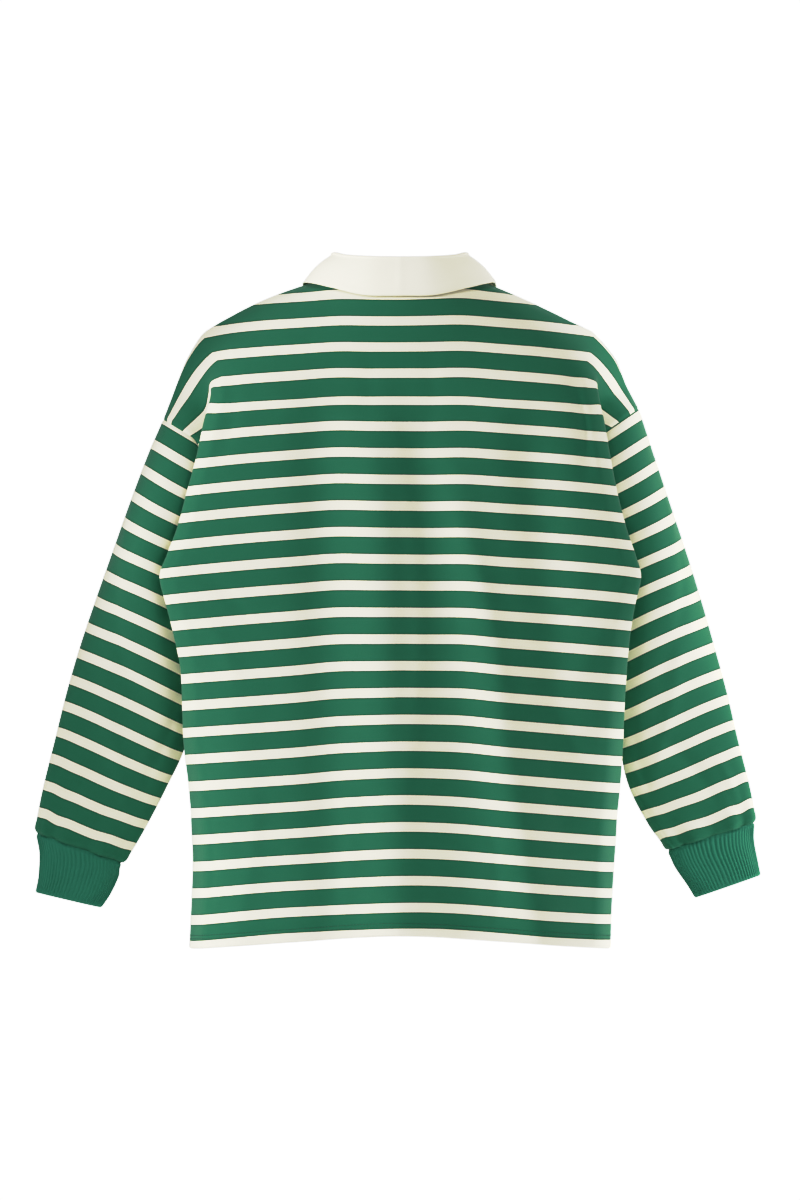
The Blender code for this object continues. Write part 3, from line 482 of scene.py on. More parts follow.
def cap_rows(panel):
    """The rows above the cap row: a dome between the panel's upper edge and that row."""
    edge, cap, below = upper_edge(panel), section_row(panel, CAP_ROW), section_row(panel, CAP_ROW + 0.5)
    steep = "steep_back" if panel == BACK else "steep_front"
    first, last = ROWS[0]["q"], ROWS[CAP_ROW]["q"]
    rows = [edge]
    for row in range(1, CAP_ROW):
        t = (ROWS[row]["q"] - first) / (last - first)
        line = []
        for column, (top, foot, lower) in enumerate(zip(edge, cap, below)):
            station = station_of(column)
            reach = (foot - top).length
            sideways = read(LEAVING, "sideways", station) * (1 if column < MIDDLE else -1)
            leave = Vector((sideways, panel, -read(LEAVING, steep, station))).normalized() * reach
            line.append(hermite(top, foot, leave, (lower - foot).normalized() * reach, t))
        last_step = STEPS[-1]
        for _ in range(SOFTENING):
            line = softened(line)
        for side, seam, step in ((LEFT, 0, 1), (RIGHT, 2 * MIDDLE, -1)):
            line[seam] = seam_point(panel, side, row)
            tuck = line[seam + step * last_step]
            for i in range(1, last_step):
                line[seam + step * i] = line[seam].lerp(tuck, i / last_step)
        rows.append(line)
    return rows


def panel_grid(panel):
    """All rows of a panel's points, from the shoulders down to the hem."""
    return cap_rows(panel) + [section_row(panel, row) for row in range(CAP_ROW, HEM_ROW + 1)]


# ---- sizes of the finer cloth --------------------------------------------------------------------
JERSEY, CUFF_CLOTH, COLLAR_CLOTH, STRIP_CLOTH = 1.3, 2.4, 2.0, 1.5      # walls
STRIPE_REPEAT, STRIPE_FIRST = 28.2, 16.4    # of the body, down from the high shoulder point
SLEEVE_REPEAT, SLEEVE_FIRST = {LEFT: 29.3, RIGHT: 28.7}, {LEFT: -0.7, RIGHT: 7.0}
LAST_STRIPE, LAST_SLEEVE_STRIPE = 24.13, 15.8       # the count at which the stripes stop, in the green
PER_ROW, PER_COLUMN = 9, 5                  # fine rows and columns to each of the solid's
NEAR_SEAM = (0.06, 0.13, 0.22, 0.34, 0.5)   # extra columns beside a seam, in the solid's columns
NEAR_SHOULDER = (0.04, 0.09, 0.16, 0.25)    # extra rows beside the shoulder seam, in the solid's rows
NEAR_HEM = (0.03, 0.07)
BLEND_LINES = 8                             # fine lines over which a panel is drawn onto its seams
SHOULDER_BEND = 5.2                         # of the courses, in columns from the armhole seam
WALE_ROW = 12                               # the row of a panel on which its wales are counted
WOBBLE_DIP, WOBBLE_HUMP, WOBBLE_SIDES = 2.0, 1.2, 1.6       # of the stripes, in millimetres
WOBBLE_HEM, WOBBLE_ALL = 0.9, 0.5
SEAM_DIP, SEAM_DIP_WIDTH = 0.9, 1.7         # groove of a seam
SEAM_SWELL, SEAM_SWELL_AT, SEAM_SWELL_WIDTH = 0.35, 5, 3    # of the cloth beside it
RELIEF_FADES = 12                           # distance from a seam over which creases fade out
CREASE_BOW, CREASE_FADE = 0.06, 0.8         # bend of a crease to its length, and the power of its ends
WAVES = 5                                   # in the low uneven relief of hung cloth
GENTLE_BODY, GENTLE_SLEEVE = 0.45, 0.4      # heights of that relief
HEM_LINES = (10.6, 14.6)                    # of twin stitching above the hem
HEM_LINE_DIP = 0.18
HEM_Q = ROWS[HEM_ROW]["q"]
HEM_LIFT, HEM_ROUNDS = 2.6, 14              # how far the rounder fold raises the hem, and over what height
HEM_RIPPLE = 0.3
HEM_AIR = 0.5                               # between the hem's two layers
FOLD_TURNS = (30, 60, 90, 120, 150)         # degrees of the rows round a fold
SLEEVE_PER_ROW, SLEEVE_RINGS = 8, 112       # fine columns to each of the armhole's rows, and rings down
SLEEVE_ENDS = (0.002, 0.005, 0.987, 0.992, 0.996)   # extra rings
PER_DEGREE = 1.2                            # mean millimetres round a sleeve to one degree
PUCKER_HEIGHT, PUCKER_SPREADS = 1.6, 60     # factor of the heights, and where a pucker is twice as wide
CUFF_SEAM_DIP, CUFF_SEAM_WIDTH = 2.2, 1.8
UNDERARM_DIP, UNDERARM_WIDTH = 0.55, 1.6
CUFF_STEPS = 12                             # fine columns to a rib
CUFF_RINGS = 30
CUFF_ENDS = (0.008, 0.016, 0.975, 0.985, 0.993)     # extra rings
RIB_DEPTH = 0.85
STRIP_COLUMNS = 13
STRIP_AIR = 0.15                            # between the upper strip and the panel
PLACKET_STITCH = 2.2                        # from the strip's edge
STITCH_BOX = 22                             # height of the box sewn at the strip's foot
THREAD_SIDES = 6
# The rings of a stitch: share along it, thickness, and height over the cloth in radii.
STITCH_RINGS = ((0, 0.25, -0.7), (0.18, 0.9, 0.35), (0.5, 1, 0.75), (0.82, 0.9, 0.35), (1, 0.25, -0.7))
# A button's half section from the middle of its underside to the middle of its face: radius and height.
BUTTON_SECTION = (
    (0, -1.3), (4.6, -1.3), (5.2, -1.0), (5.5, -0.3), (5.45, 0.6), (5.0, 1.15), (4.3, 1.2), (3.8, 0.8),
    (3.2, 0.45), (0, 0.35),
)
BUTTON_SEGMENTS, BUTTON_LIFT = 40, 1.75
HOLE_AT, HOLE_RADIUS = 1.15, 0.62           # of the four holes from the button's middle
BUTTONHOLE_LENGTH, BUTTONHOLE_STITCHES = 14.8, 24
SHARP_CLOTH, SHARP_BUTTON = 70, 38          # degrees past which an edge is shaded sharp

# Creases listed for each panel: from one place to another in x and depth, half width and height.
CREASES_BACK = table(
    "x q to_x to_q half_width height",
    (13, 130, 3, 600, 10, 1.3),
    (-40, 200, -112, 520, 10, 1.2),
    (-178, 80, -197, 215, 9, -2.4),
    (176, 90, 198, 200, 9, -1.3),
    (215, 300, 150, 372, 8, -1.1),
    (221, 330, 170, 430, 9, 1.2),
    (-217, 306, -150, 362, 8, -1.2),
    (-222, 340, -165, 440, 10, 1.1),
    (-96, 150, -150, 118, 11, 0.9),
    (90, 140, 150, 110, 11, 0.8),
    (-30, 60, -20, 200, 9, -0.8),
    (36, 70, 44, 190, 10, -0.7),
    (-150, 470, -168, 640, 9, -1.0),
    (60, 520, 66, 700, 8, 0.9),
    (-92, 560, -97, 700, 7, -0.9),
    (158, 500, 176, 690, 9, 1.0),
    (205, 560, 214, 690, 7, -0.8),
    (-204, 590, -211, 690, 7, 0.8),
)
CREASES_FRONT = table(
    "x q to_x to_q half_width height",
    (206, 250, 120, 330, 9, -1.5),
    (214, 300, 130, 420, 10, 1.3),
    (-208, 255, -118, 340, 9, -1.6),
    (-214, 310, -140, 430, 10, 1.4),
    (-24, 250, -60, 420, 9, 1.3),
    (24, 250, 54, 400, 9, -1.2),
    (100, 480, 112, 690, 9, 1.2),
    (-60, 470, -52, 700, 8, -1.3),
    (-112, 520, -120, 690, 9, 1.1),
    (30, 540, 26, 700, 8, -1.0),
    (180, 520, 192, 690, 9, -1.1),
    (-190, 480, -200, 690, 9, 1.0),
    (120, 110, 170, 170, 12, -1.0),
    (-124, 112, -172, 172, 12, -1.1),
)
# Creases of a sleeve: from one place to another in degrees round it and distance down it.
CREASES_SLEEVE = {
    LEFT: table(
        "turn r to_turn to_r half_width height",
        (40, 150, 110, 300, 10, -1.4),
        (60, 250, 120, 400, 9, 1.3),
        (20, 60, 70, 190, 12, 1.2),
        (100, 330, 60, 440, 8, -1.3),
        (-30, 120, -110, 250, 11, -1.6),
        (-60, 240, -120, 390, 9, 1.4),
        (-100, 330, -50, 440, 8, -1.3),
        (30, 380, 22, 455, 7, 1.1),
        (150, 230, 130, 380, 8, -1.2),
    ),
    RIGHT: table(
        "turn r to_turn to_r half_width height",
        (30, 130, 100, 280, 10, -1.3),
        (70, 220, 125, 380, 9, 1.3),
        (15, 50, 60, 180, 12, 1.2),
        (110, 320, 70, 435, 8, -1.4),
        (-25, 140, -105, 270, 11, -1.5),
        (-70, 230, -125, 400, 9, 1.4),
        (-90, 340, -45, 440, 8, -1.2),
        (60, 370, 45, 452, 7, 1.2),
        (150, 250, 135, 400, 8, -1.1),
    ),
}
# Puckers where the sleeve is gathered into its cuff: place round it, half width in degrees, height and reach.
PUCKERS = {
    LEFT: table(
        "turn half_width height reach",
        (38, 7, 1.5, 22), (55, 5, -1.2, 18), (72, 8, 1.2, 26), (98, 6, -1.1, 16), (118, 7, 1.0, 20),
        (142, 6, -0.9, 18), (165, 7, 1.0, 20), (-20, 6, 1.1, 20), (-45, 6, -1.2, 17), (-66, 7, 1.4, 24),
        (-92, 6, -1.2, 18), (-115, 7, 1.2, 22), (-140, 6, -1.0, 17), (-162, 7, 1.0, 20), (15, 6, -0.9, 15),
    ),
    RIGHT: table(
        "turn half_width height reach",
        (62, 8, 1.9, 28), (45, 5, -1.5, 20), (25, 6, 0.9, 18), (88, 6, -1.2, 18), (108, 8, 1.2, 24),
        (128, 6, -1.1, 17), (150, 7, 1.0, 20), (172, 6, -0.9, 18), (-25, 6, -1.1, 18), (-48, 7, 1.4, 22),
        (-70, 6, -1.2, 18), (-95, 7, 1.2, 22), (-118, 6, -1.1, 18), (-145, 7, 1.1, 20), (5, 6, -0.8, 14),
    ),
}


# ---- grids of points -----------------------------------------------------------------------------
def as_line(points):
    return np.array([tuple(point) for point in points])


def as_array(grid):
    return np.array([as_line(line) for line in grid])


def weights_along(places, count):
    """Weights that read a line of points at fractional places, on a smooth curve through them."""
    weights = np.zeros((len(places), count))
    for k, place in enumerate(places):
        i = min(int(place), count - 2)
        t = place - i
        cubic = (-t + 2 * t * t - t ** 3, 2 - 5 * t * t + 3 * t ** 3,
                 t + 4 * t * t - 3 * t ** 3, t ** 3 - t * t)
        for j, weight in zip(range(i - 1, i + 3), cubic):
            if j < 0:
                weights[k, 0] += 2 * weight
                weights[k, 1] -= weight
            elif j >= count:
                weights[k, -1] += 2 * weight
                weights[k, -2] -= weight
            else:
                weights[k, j] += weight
    return weights / 2


def refined(grid, rows, columns):
    """The grid's points at fractional rows and columns."""
    down, across = weights_along(rows, grid.shape[0]), weights_along(columns, grid.shape[1])
    return np.einsum("ri,cj,ijk->rck", down, across, grid)


def places(count, per, start=(), end=()):
    """Fractional places along a line of points, with extra ones near its ends."""
    even = np.linspace(0, count - 1, (count - 1) * per + 1)
    return np.unique(np.round(np.concatenate([even, np.array(start), count - 1 - np.array(end)]), 4))


def unit(vectors):
    return vectors / np.maximum(np.linalg.norm(vectors, axis=-1, keepdims=True), 1e-9)


def surface_normals(points, wrap, flip):
    """Unit normals of a grid, which closes on itself across if it wraps."""
    down = np.gradient(points, axis=0)
    if wrap:
        along = np.roll(points, -1, axis=1) - np.roll(points, 1, axis=1)
    else:
        along = np.gradient(points, axis=1)
    return unit(np.cross(along, down)) * flip


def lengths(points, axis):
    """Distance along a grid from its first row or column."""
    steps = np.linalg.norm(np.diff(points, axis=axis), axis=-1)
    first = np.zeros_like(np.take(steps, [0], axis=axis))
    return np.cumsum(np.concatenate([first, steps], axis=axis), axis=axis)


def from_sides(across):
    """Distance from the nearer side of a cloth, given the distances across it."""
    return np.minimum(across, across[:, -1:] - across)


def point_at(places, line, place):
    """The point of a line at a place among the places of its points."""
    return np.array([np.interp(place, places, line[:, k]) for k in range(3)])


def crease_relief(creases, across, down, names):
    """Relief of the creases, each a soft line that fades in and out along its length."""
    relief = np.zeros_like(across)
    for crease in creases:
        ax, ay, bx, by = (crease[name] for name in names)
        length = math.hypot(bx - ax, by - ay)
        ux, uy = (bx - ax) / length, (by - ay) / length
        along = ((across - ax) * ux + (down - ay) * uy) / length
        aside = (across - ax) * uy - (down - ay) * ux
        aside = aside + CREASE_BOW * length * np.sin(along * math.pi)
        fade = np.sin(np.clip(along, 0, 1) * math.pi) ** CREASE_FADE
        relief += crease["height"] * fade * bell(aside, crease["half_width"])
    return relief


def gentle(across, down, seed, size):
    """Low uneven relief of hung cloth, from a few waves."""
    relief = np.zeros_like(across)
    for k in range(WAVES):
        angle = seed + 2.4 * k
        pitch = size * (1 + 0.37 * k)
        phase = 1.7 * k + seed * 3.1
        along = across * math.cos(angle) * 0.9 + down * math.sin(angle) * 0.45
        relief += np.sin(along * 2 * math.pi / pitch + phase)
    return relief / WAVES


# ---- meshes --------------------------------------------------------------------------------------
def in_scene(name, data):
    """A new object, put into the scene."""
    made = bpy.data.objects.new(name, data)
    bpy.context.scene.collection.objects.link(made)
    return made


def link(name, mesh, materials, node=None):
    """A piece of the shirt, which may stand in for a node of the solids."""
    made = in_scene(name, mesh)
    for material in materials:
        mesh.materials.append(material)
    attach(made, "root")
    if node:
        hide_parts(node)
    return made


def shell(name, outer, inner, normals, materials, node, wrap=False, skip=None, marks=None):
    """A thin closed wall between two grids of points, with numbers kept on its points for the materials."""
    rows, columns = outer.shape[:2]
    i, j = np.meshgrid(np.arange(rows - 1), np.arange(columns if wrap else columns - 1), indexing="ij")
    keep = np.ones(i.shape, bool) if skip is None else ~skip(i, j)
    i, j = i[keep], j[keep]
    over = (j + 1) % columns
    a, b, c, d = i * columns + j, (i + 1) * columns + j, (i + 1) * columns + over, i * columns + over
    faces = np.stack([a, b, c, d], axis=1)
    points = outer.reshape(-1, 3)
    middle = faces[len(faces) // 2]
    turned = np.cross(points[middle[1]] - points[middle[0]], points[middle[3]] - points[middle[0]])
    corner_rows = np.stack([i, i + 1, i + 1, i], axis=1)
    corner_columns = np.stack([j, j, j + 1, j + 1], axis=1)
    if turned @ normals.reshape(-1, 3)[middle[0]] < 0:
        faces, corner_rows, corner_columns = (grid[:, ::-1] for grid in (faces, corner_rows, corner_columns))
    starts, ends = faces.ravel(), np.roll(faces, -1, axis=1).ravel()
    count = rows * columns
    rim = ~np.isin(starts * count + ends, ends * count + starts)
    rims = np.stack([ends[rim], starts[rim], starts[rim] + count, ends[rim] + count], axis=1)
    every = np.concatenate([faces, faces[:, ::-1] + count, rims])
    mesh = bpy.data.meshes.new(name)
    mesh.from_pydata((np.concatenate([points, inner.reshape(-1, 3)]) * MM).tolist(), [], every.tolist())
    for mark, values in (marks or {}).items():
        layer = mesh.attributes.new(mark, "FLOAT", "POINT")
        layer.data.foreach_set("value", np.tile(values.ravel(), 2).astype(np.float32))

    # The outer layer fills the left half of the picture square, and the inner one the right half.
    u, v = corner_columns / columns * 0.48 + 0.01, 1 - corner_rows / rows
    right_half = np.array([0.5, 0])
    face_uv = np.stack([u, v], axis=-1)
    beside = np.repeat(face_uv.reshape(-1, 2)[rim][:, None], 2, axis=1)
    rim_uv = np.concatenate([beside, beside + right_half], axis=1)
    layer = mesh.uv_layers.new(name="OFBake")
    every_uv = np.concatenate([face_uv, face_uv[:, ::-1] + right_half, rim_uv])
    layer.data.foreach_set("uv", every_uv.ravel().astype(np.float32))
    indices = np.zeros(len(every), np.int32)
    indices[len(faces):2 * len(faces)] = len(materials) - 1
    mesh.polygons.foreach_set("material_index", indices)
    mesh.shade_smooth()
    mesh.set_sharp_from_angle(angle=math.radians(SHARP_CLOTH))
    mesh.update()
    return link(name, mesh, materials, node)


def thread_ring(centre, side, up, radius, size=1):
    """Points round a thread, whose size varies along a stitch."""
    angles = [2 * math.pi * k / THREAD_SIDES for k in range(THREAD_SIDES)]
    return [centre + (side * math.cos(angle) + up * math.sin(angle)) * radius * size for angle in angles]


def thread_faces(base, rings):
    """Faces of a closed tube through rings of points, the first of which is the base."""
    starts = [base + ring * THREAD_SIDES for ring in range(rings)]
    faces = []
    for low, high in zip(starts, starts[1:]):
        for k in range(THREAD_SIDES):
            over = (k + 1) % THREAD_SIDES
            faces.append((low + k, low + over, high + over, high + k))
    faces.append(tuple(base + k for k in reversed(range(THREAD_SIDES))))
    faces.append(tuple(starts[-1] + k for k in range(THREAD_SIDES)))
    return faces


def thread_piece(name, points, faces, material):
    mesh = bpy.data.meshes.new(name)
    mesh.from_pydata((np.array(points) * MM).tolist(), [], faces)
    mesh.shade_smooth()
    return link(name, mesh, [material])


def stitched(name, runs, material, length=2.6, gap=0.9, radius=0.32):
    """Rows of small stitches along lines of points on the cloth, each with its normals."""
    points, faces = [], []
    for line, normals in runs:
        at = lengths(line[None], 1)[0]
        for start in np.arange(gap, at[-1] - length, length + gap):
            head, tail = (point_at(at, line, place) for place in (start, start + length))
            up = unit(point_at(at, normals, start + length / 2))
            side = unit(np.cross(tail - head, up))
            faces += thread_faces(len(points), len(STITCH_RINGS))
            for share, size, height in STITCH_RINGS:
                centre = head + (tail - head) * share + up * height * radius
                points += thread_ring(centre, side, up, radius, size)
    return thread_piece(name, points, faces, material)


def tubes(name, runs, radius, material):
    """Threads of one thickness along short lines."""
    points, faces = [], []
    helper = np.array([0.31, 0.2, 0.93])        # a direction along which none of the threads runs
    for line in runs:
        faces += thread_faces(len(points), len(line))
        for centre, direction in zip(line, unit(np.gradient(line, axis=0))):
            side = unit(np.cross(direction, helper))
            points += thread_ring(centre, side, np.cross(side, direction), radius)
    return thread_piece(name, points, faces, material)


# ---- body panels ---------------------------------------------------------------------------------
PANEL_ROWS = places(HEM_ROW + 1, PER_ROW, start=NEAR_SHOULDER, end=NEAR_HEM)
PANEL_COLUMNS = places(2 * MIDDLE + 1, PER_COLUMN, start=NEAR_SEAM, end=NEAR_SEAM)
SLASH = (MIDDLE - 1, MIDDLE + 1)
SHOULDER_LINES = {
    side: as_line(spline([top_edge(side, station) for station in range(CENTRE + 1, SEAM + 1)], STEPS[1:]))
    for side in (LEFT, RIGHT)
}


def fine_row(row):
    return int(np.searchsorted(PANEL_ROWS, row))


def fine_column(column):
    return int(np.searchsorted(PANEL_COLUMNS, column))


def slashed(grid):
    """The front panel's points, with the columns beside the centre on the two edges of the slash."""
    for line in grid[1:PLACKET_ROWS + 1]:
        for side in (LEFT, RIGHT):
            line[MIDDLE - side] = point_across(line, side * PLACKET_HALF_WIDTH)
    return grid


def point_across(line, x):
    """The point of a row at a distance from the centre, on its straight facets."""
    for a, b in zip(line, line[1:]):
        if b[0] <= x <= a[0] and a[0] > b[0]:
            return a + (b - a) * ((x - a[0]) / (b[0] - a[0]))
    raise ValueError("the row does not reach that far")


def drawn_to(lines, wanted):
    """Moves the first line onto the wanted points, the change fading over the lines after it."""
    change = wanted - lines[0]
    for k in range(BLEND_LINES):
        lines[k] += change * (1 - k / BLEND_LINES) ** 2


def body_panel(panel):
    """Outer points of a panel, which meets the sleeves and the other panel at its seams."""
    coarse = panel_grid(panel)
    if panel == FRONT:
        coarse = slashed(coarse)
    points = refined(as_array(coarse), PANEL_ROWS, PANEL_COLUMNS)
    for side in (LEFT, RIGHT):
        columns = points if side == LEFT else points[:, ::-1]
        drawn_to(columns.swapaxes(0, 1), as_line(seam_point(panel, side, row) for row in PANEL_ROWS))
    shoulders = np.array([abs(column - MIDDLE) >= STEPS[0] for column in PANEL_COLUMNS])
    lines = points[:, shoulders]
    drawn_to(lines, as_line(shoulder_point(column) for column in PANEL_COLUMNS[shoulders]))
    points[:, shoulders] = lines
    q = np.array([read(ROWS, "q", row) for row in PANEL_ROWS])[:, None] + 0 * points[..., 0]
    flat = np.clip([RIDGE - station_of(column) for column in PANEL_COLUMNS], 0, 1)
    folds = FOLDS_BACK if panel == BACK else FOLDS_FRONT
    points[..., 1] += panel * flat * upright_folds(folds, q, points[..., 0])
    return points


def shoulder_point(column):
    """The shoulder seam at a fractional column, the same for the back and the front."""
    side = LEFT if column < MIDDLE else RIGHT
    along = abs(column - MIDDLE) - STEPS[0]
    line = SHOULDER_LINES[side]
    weights = weights_along([along], len(line))[0]
    return Vector(weights @ line)


def courses_of(points, panel):
    """How far each point's course of the knit lies below the high shoulder point."""
    cap = fine_row(CAP_ROW)
    q = np.array([read(ROWS, "q", row) for row in PANEL_ROWS])
    courses = np.repeat(q[:, None], points.shape[1], axis=1)
    cloth = lengths(points[:cap + 1], 0)
    # The back's courses are spaced as they are seen from behind, and the front's along the cloth.
    seen = lengths(points[:cap + 1] * ((1, 0, 1) if panel == BACK else (1, 1, 1)), 0)
    courses[:cap + 1] = courses[cap] - (seen[-1] - seen)

    # Past the bend of the shoulder the courses run straight on to the armhole seam.
    bend = fine_column(SHOULDER_BEND)
    for way in (slice(None), slice(None, None, -1)):
        part, seam = courses[:cap + 1, way], cloth[:, way][:, 0]
        share = lengths(points[:cap + 1, way], 1)[:, :bend + 1]
        share = share / share[:, -1:]
        at_seam = part[-1, 0] - (seam[-1] - seam)
        part[:, :bend + 1] = at_seam[:, None] * (1 - share) + part[:, bend:bend + 1] * share
    return courses


def wobble(x, courses):
    """How much lower the stripes hang than level cloth, where the yoke and the hem pull them."""
    top, low = 1 - rising(courses, 10, 100), rising(courses, 560, 690)
    middle = rising(courses, 40, 100) * rising(courses, 620, 420)
    return (top * (WOBBLE_DIP * bell(x, 38) - WOBBLE_HUMP * (bell(x - 66, 24) + bell(x + 66, 24)))
            - middle * WOBBLE_SIDES * (bell(x - 70, 32) + bell(x + 70, 32))
            + low * WOBBLE_HEM * np.sin(x / 31.0 + 0.6) + WOBBLE_ALL * np.sin(x / 47.0 + courses / 83.0))


def seam_distance(points):
    """Distance from the nearest sewn edge: the sides, and the shoulders at the top."""
    down = lengths(points, 0)
    neck = np.array([abs(column - MIDDLE) < STEPS[0] - 0.2 for column in PANEL_COLUMNS])
    down[:, neck] = math.inf
    return np.minimum(from_sides(lengths(points, 1)), down)


def in_slash(i, j):
    """Which faces of the front panel are left out for the placket."""
    low, high = (fine_column(column) for column in SLASH)
    return (i < fine_row(PLACKET_ROWS)) & (j >= low) & (j < high)


def panel_cloth(name, panel, creases, node, materials):
    """A panel with its hem turned up inside; gives the piece, its face, normals and heights above the hem."""
    points = body_panel(panel)
    flip = -1 if panel == BACK else 1
    courses = courses_of(points, panel)
    x = points[..., 0]
    wales = np.repeat(lengths(points, 1)[fine_row(WALE_ROW)][None], len(points), axis=0)
    relief = crease_relief(creases, x, courses, ("x", "q", "to_x", "to_q"))
    relief += GENTLE_BODY * gentle(x, courses, 0.7 * panel, 90) * rising(courses, 60, 160)
    edge = seam_distance(points)
    relief *= rising(edge, 0, RELIEF_FADES)
    swell = SEAM_SWELL * bell(edge - SEAM_SWELL_AT, SEAM_SWELL_WIDTH)
    relief += swell - SEAM_DIP * bell(edge, SEAM_DIP_WIDTH)
    hem = lengths(points, 0)
    hem = hem[-1] - hem
    points[..., 2] += HEM_LIFT * (1 - rising(hem, 0, HEM_ROUNDS))
    for line in HEM_LINES:
        relief -= HEM_LINE_DIP * bell(hem - line, 1.0)
    relief += HEM_RIPPLE * (1 - rising(hem, 0, HEM_TURN)) * np.sin(x / 9.0) * bell(hem - 7, 9)
    normals = surface_normals(points, False, flip)
    outer = points + normals * relief[..., None]
    normals = surface_normals(outer, False, flip)
    stripes = np.minimum((courses - STRIPE_FIRST - wobble(x, courses)) / STRIPE_REPEAT, LAST_STRIPE)

    # The hem goes round its fold and up inside.
    turned = slice(-1, -1 - int(np.sum(hem[:, 0] < HEM_TURN)), -1)
    depth = 2 * JERSEY + HEM_AIR
    down = np.array([0, 0, -1.0])
    fold, fold_normals = [], []
    for angle in FOLD_TURNS:
        c, s = math.cos(math.radians(angle)), math.sin(math.radians(angle))
        fold.append(outer[-1] - normals[-1] * depth / 2 * (1 - c) + down * depth / 2 * s)
        fold_normals.append(unit(normals[-1] * c + down * s))
    cloth = np.concatenate([outer, np.array(fold), outer[turned] - normals[turned] * depth])
    cloth_normals = np.concatenate([normals, np.array(fold_normals), -normals[turned]])

    def carried(mark, inside):
        """A mark carried round the fold and on up the inside."""
        return np.concatenate([mark, np.repeat(mark[-1:], len(fold), axis=0), inside])

    marks = {"stripe": carried(stripes, (HEM_Q - STRIPE_FIRST + hem[turned]) / STRIPE_REPEAT),
             "course": carried(courses, HEM_Q + hem[turned]),
             "wale": carried(wales, wales[turned])}
    made = shell(name, cloth, cloth - cloth_normals * JERSEY, cloth_normals, materials,
                 node, skip=in_slash if panel == FRONT else None, marks=marks)
    return made, outer, normals, hem


def hem_runs(outer, normals, hem):
    """Lines of the hem's stitching on a panel."""
    runs = []
    for line in HEM_LINES:
        points, ups = (np.array([point_at(hem[::-1, j], grid[::-1, j], line)
                                 for j in range(2, outer.shape[1] - 2)]) for grid in (outer, normals))
        runs.append((points, unit(ups)))
    return runs


# ---- sleeves -------------------------------------------------------------------------------------
def around_tube(turns, centre):
    """Distance round a tube from a place, in degrees, the short way."""
    return (turns - centre + 180) % 360 - 180


def tube_creases(creases, turns, r):
    """Relief of the creases of a sleeve, each measured round the tube from its own middle."""
    relief = np.zeros_like(r)
    for crease in creases:
        middle = (crease["turn"] + crease["to_turn"]) / 2
        x, to_x = ((crease[end] - middle) * PER_DEGREE for end in ("turn", "to_turn"))
        across = around_tube(turns, middle) * PER_DEGREE
        relief += crease_relief([dict(crease, x=x, to_x=to_x)], across, r, ("x", "r", "to_x", "to_r"))
    return relief


def underarm_line(side, shares):
    """Degrees at which the underarm seam runs down the sleeve; it twists to the back above the right cuff."""
    if side == RIGHT:
        return 180 - 36 * rising(shares, 0.5, 1) ** 0.8
    return -180 + 12 * shares


def sleeve_cloth(name, side, node, materials):
    back = [read(ROWS, "turn", row) for row in places(UNDERARM_ROW + 1, SLEEVE_PER_ROW)]
    turns = np.array(back + [-turn for turn in back[-2:0:-1]])
    shares = np.unique(np.concatenate([np.linspace(0, 1, SLEEVE_RINGS), SLEEVE_ENDS]))
    points = as_array([[sleeve_point(side, share, turn) for turn in turns] for share in shares])
    angle = turns[None] + 0 * shares[:, None]
    start = np.array([cap_fall(turn) for turn in turns])[None]
    length = SLEEVE[side][-1]["r"]
    r = start + shares[:, None] * (length - start)
    wales = np.repeat(lengths(points, 1)[len(shares) // 3][None], len(shares), axis=0)
    relief = tube_creases(CREASES_SLEEVE[side], angle, r)
    hung = GENTLE_SLEEVE * gentle(angle * PER_DEGREE, r, 1.3 * side, 80)
    relief += hung * np.abs(np.cos(np.radians(angle / 2)))
    cuff_end = (1 - shares[:, None]) * (length - start)
    for pucker in PUCKERS[side]:
        width = pucker["half_width"] * (1 + cuff_end / PUCKER_SPREADS)
        spread = bell(around_tube(angle, pucker["turn"]), width)
        relief += PUCKER_HEIGHT * pucker["height"] * spread * np.exp(-cuff_end / pucker["reach"])
    relief += bell(cuff_end - 6, 6) - CUFF_SEAM_DIP * bell(cuff_end, CUFF_SEAM_WIDTH)
    armhole = lengths(points, 0)
    relief = relief * rising(armhole, 0, RELIEF_FADES) - SEAM_DIP * bell(armhole, SEAM_DIP_WIDTH)
    seam = around_tube(angle, underarm_line(side, shares[:, None])) * PER_DEGREE * 0.8
    relief -= UNDERARM_DIP * bell(seam, UNDERARM_WIDTH)
    flip = -side
    outer = points + surface_normals(points, True, flip) * relief[..., None]
    normals = surface_normals(outer, True, flip)
    shift = 0.9 * np.sin(angle / 23.0 + r / 61.0) * rising(r, 0, 60)
    for pucker in PUCKERS[side]:
        pulled = bell(around_tube(angle, pucker["turn"]), 9)
        shift += 0.9 * pucker["height"] * pulled * np.exp(-cuff_end / 40)
    stripes = np.minimum((r - SLEEVE_FIRST[side] + shift) / SLEEVE_REPEAT[side], LAST_SLEEVE_STRIPE)
    return shell(name, outer, outer - normals * JERSEY, normals, materials, node, wrap=True,
                 marks={"stripe": stripes, "course": r, "wale": wales})


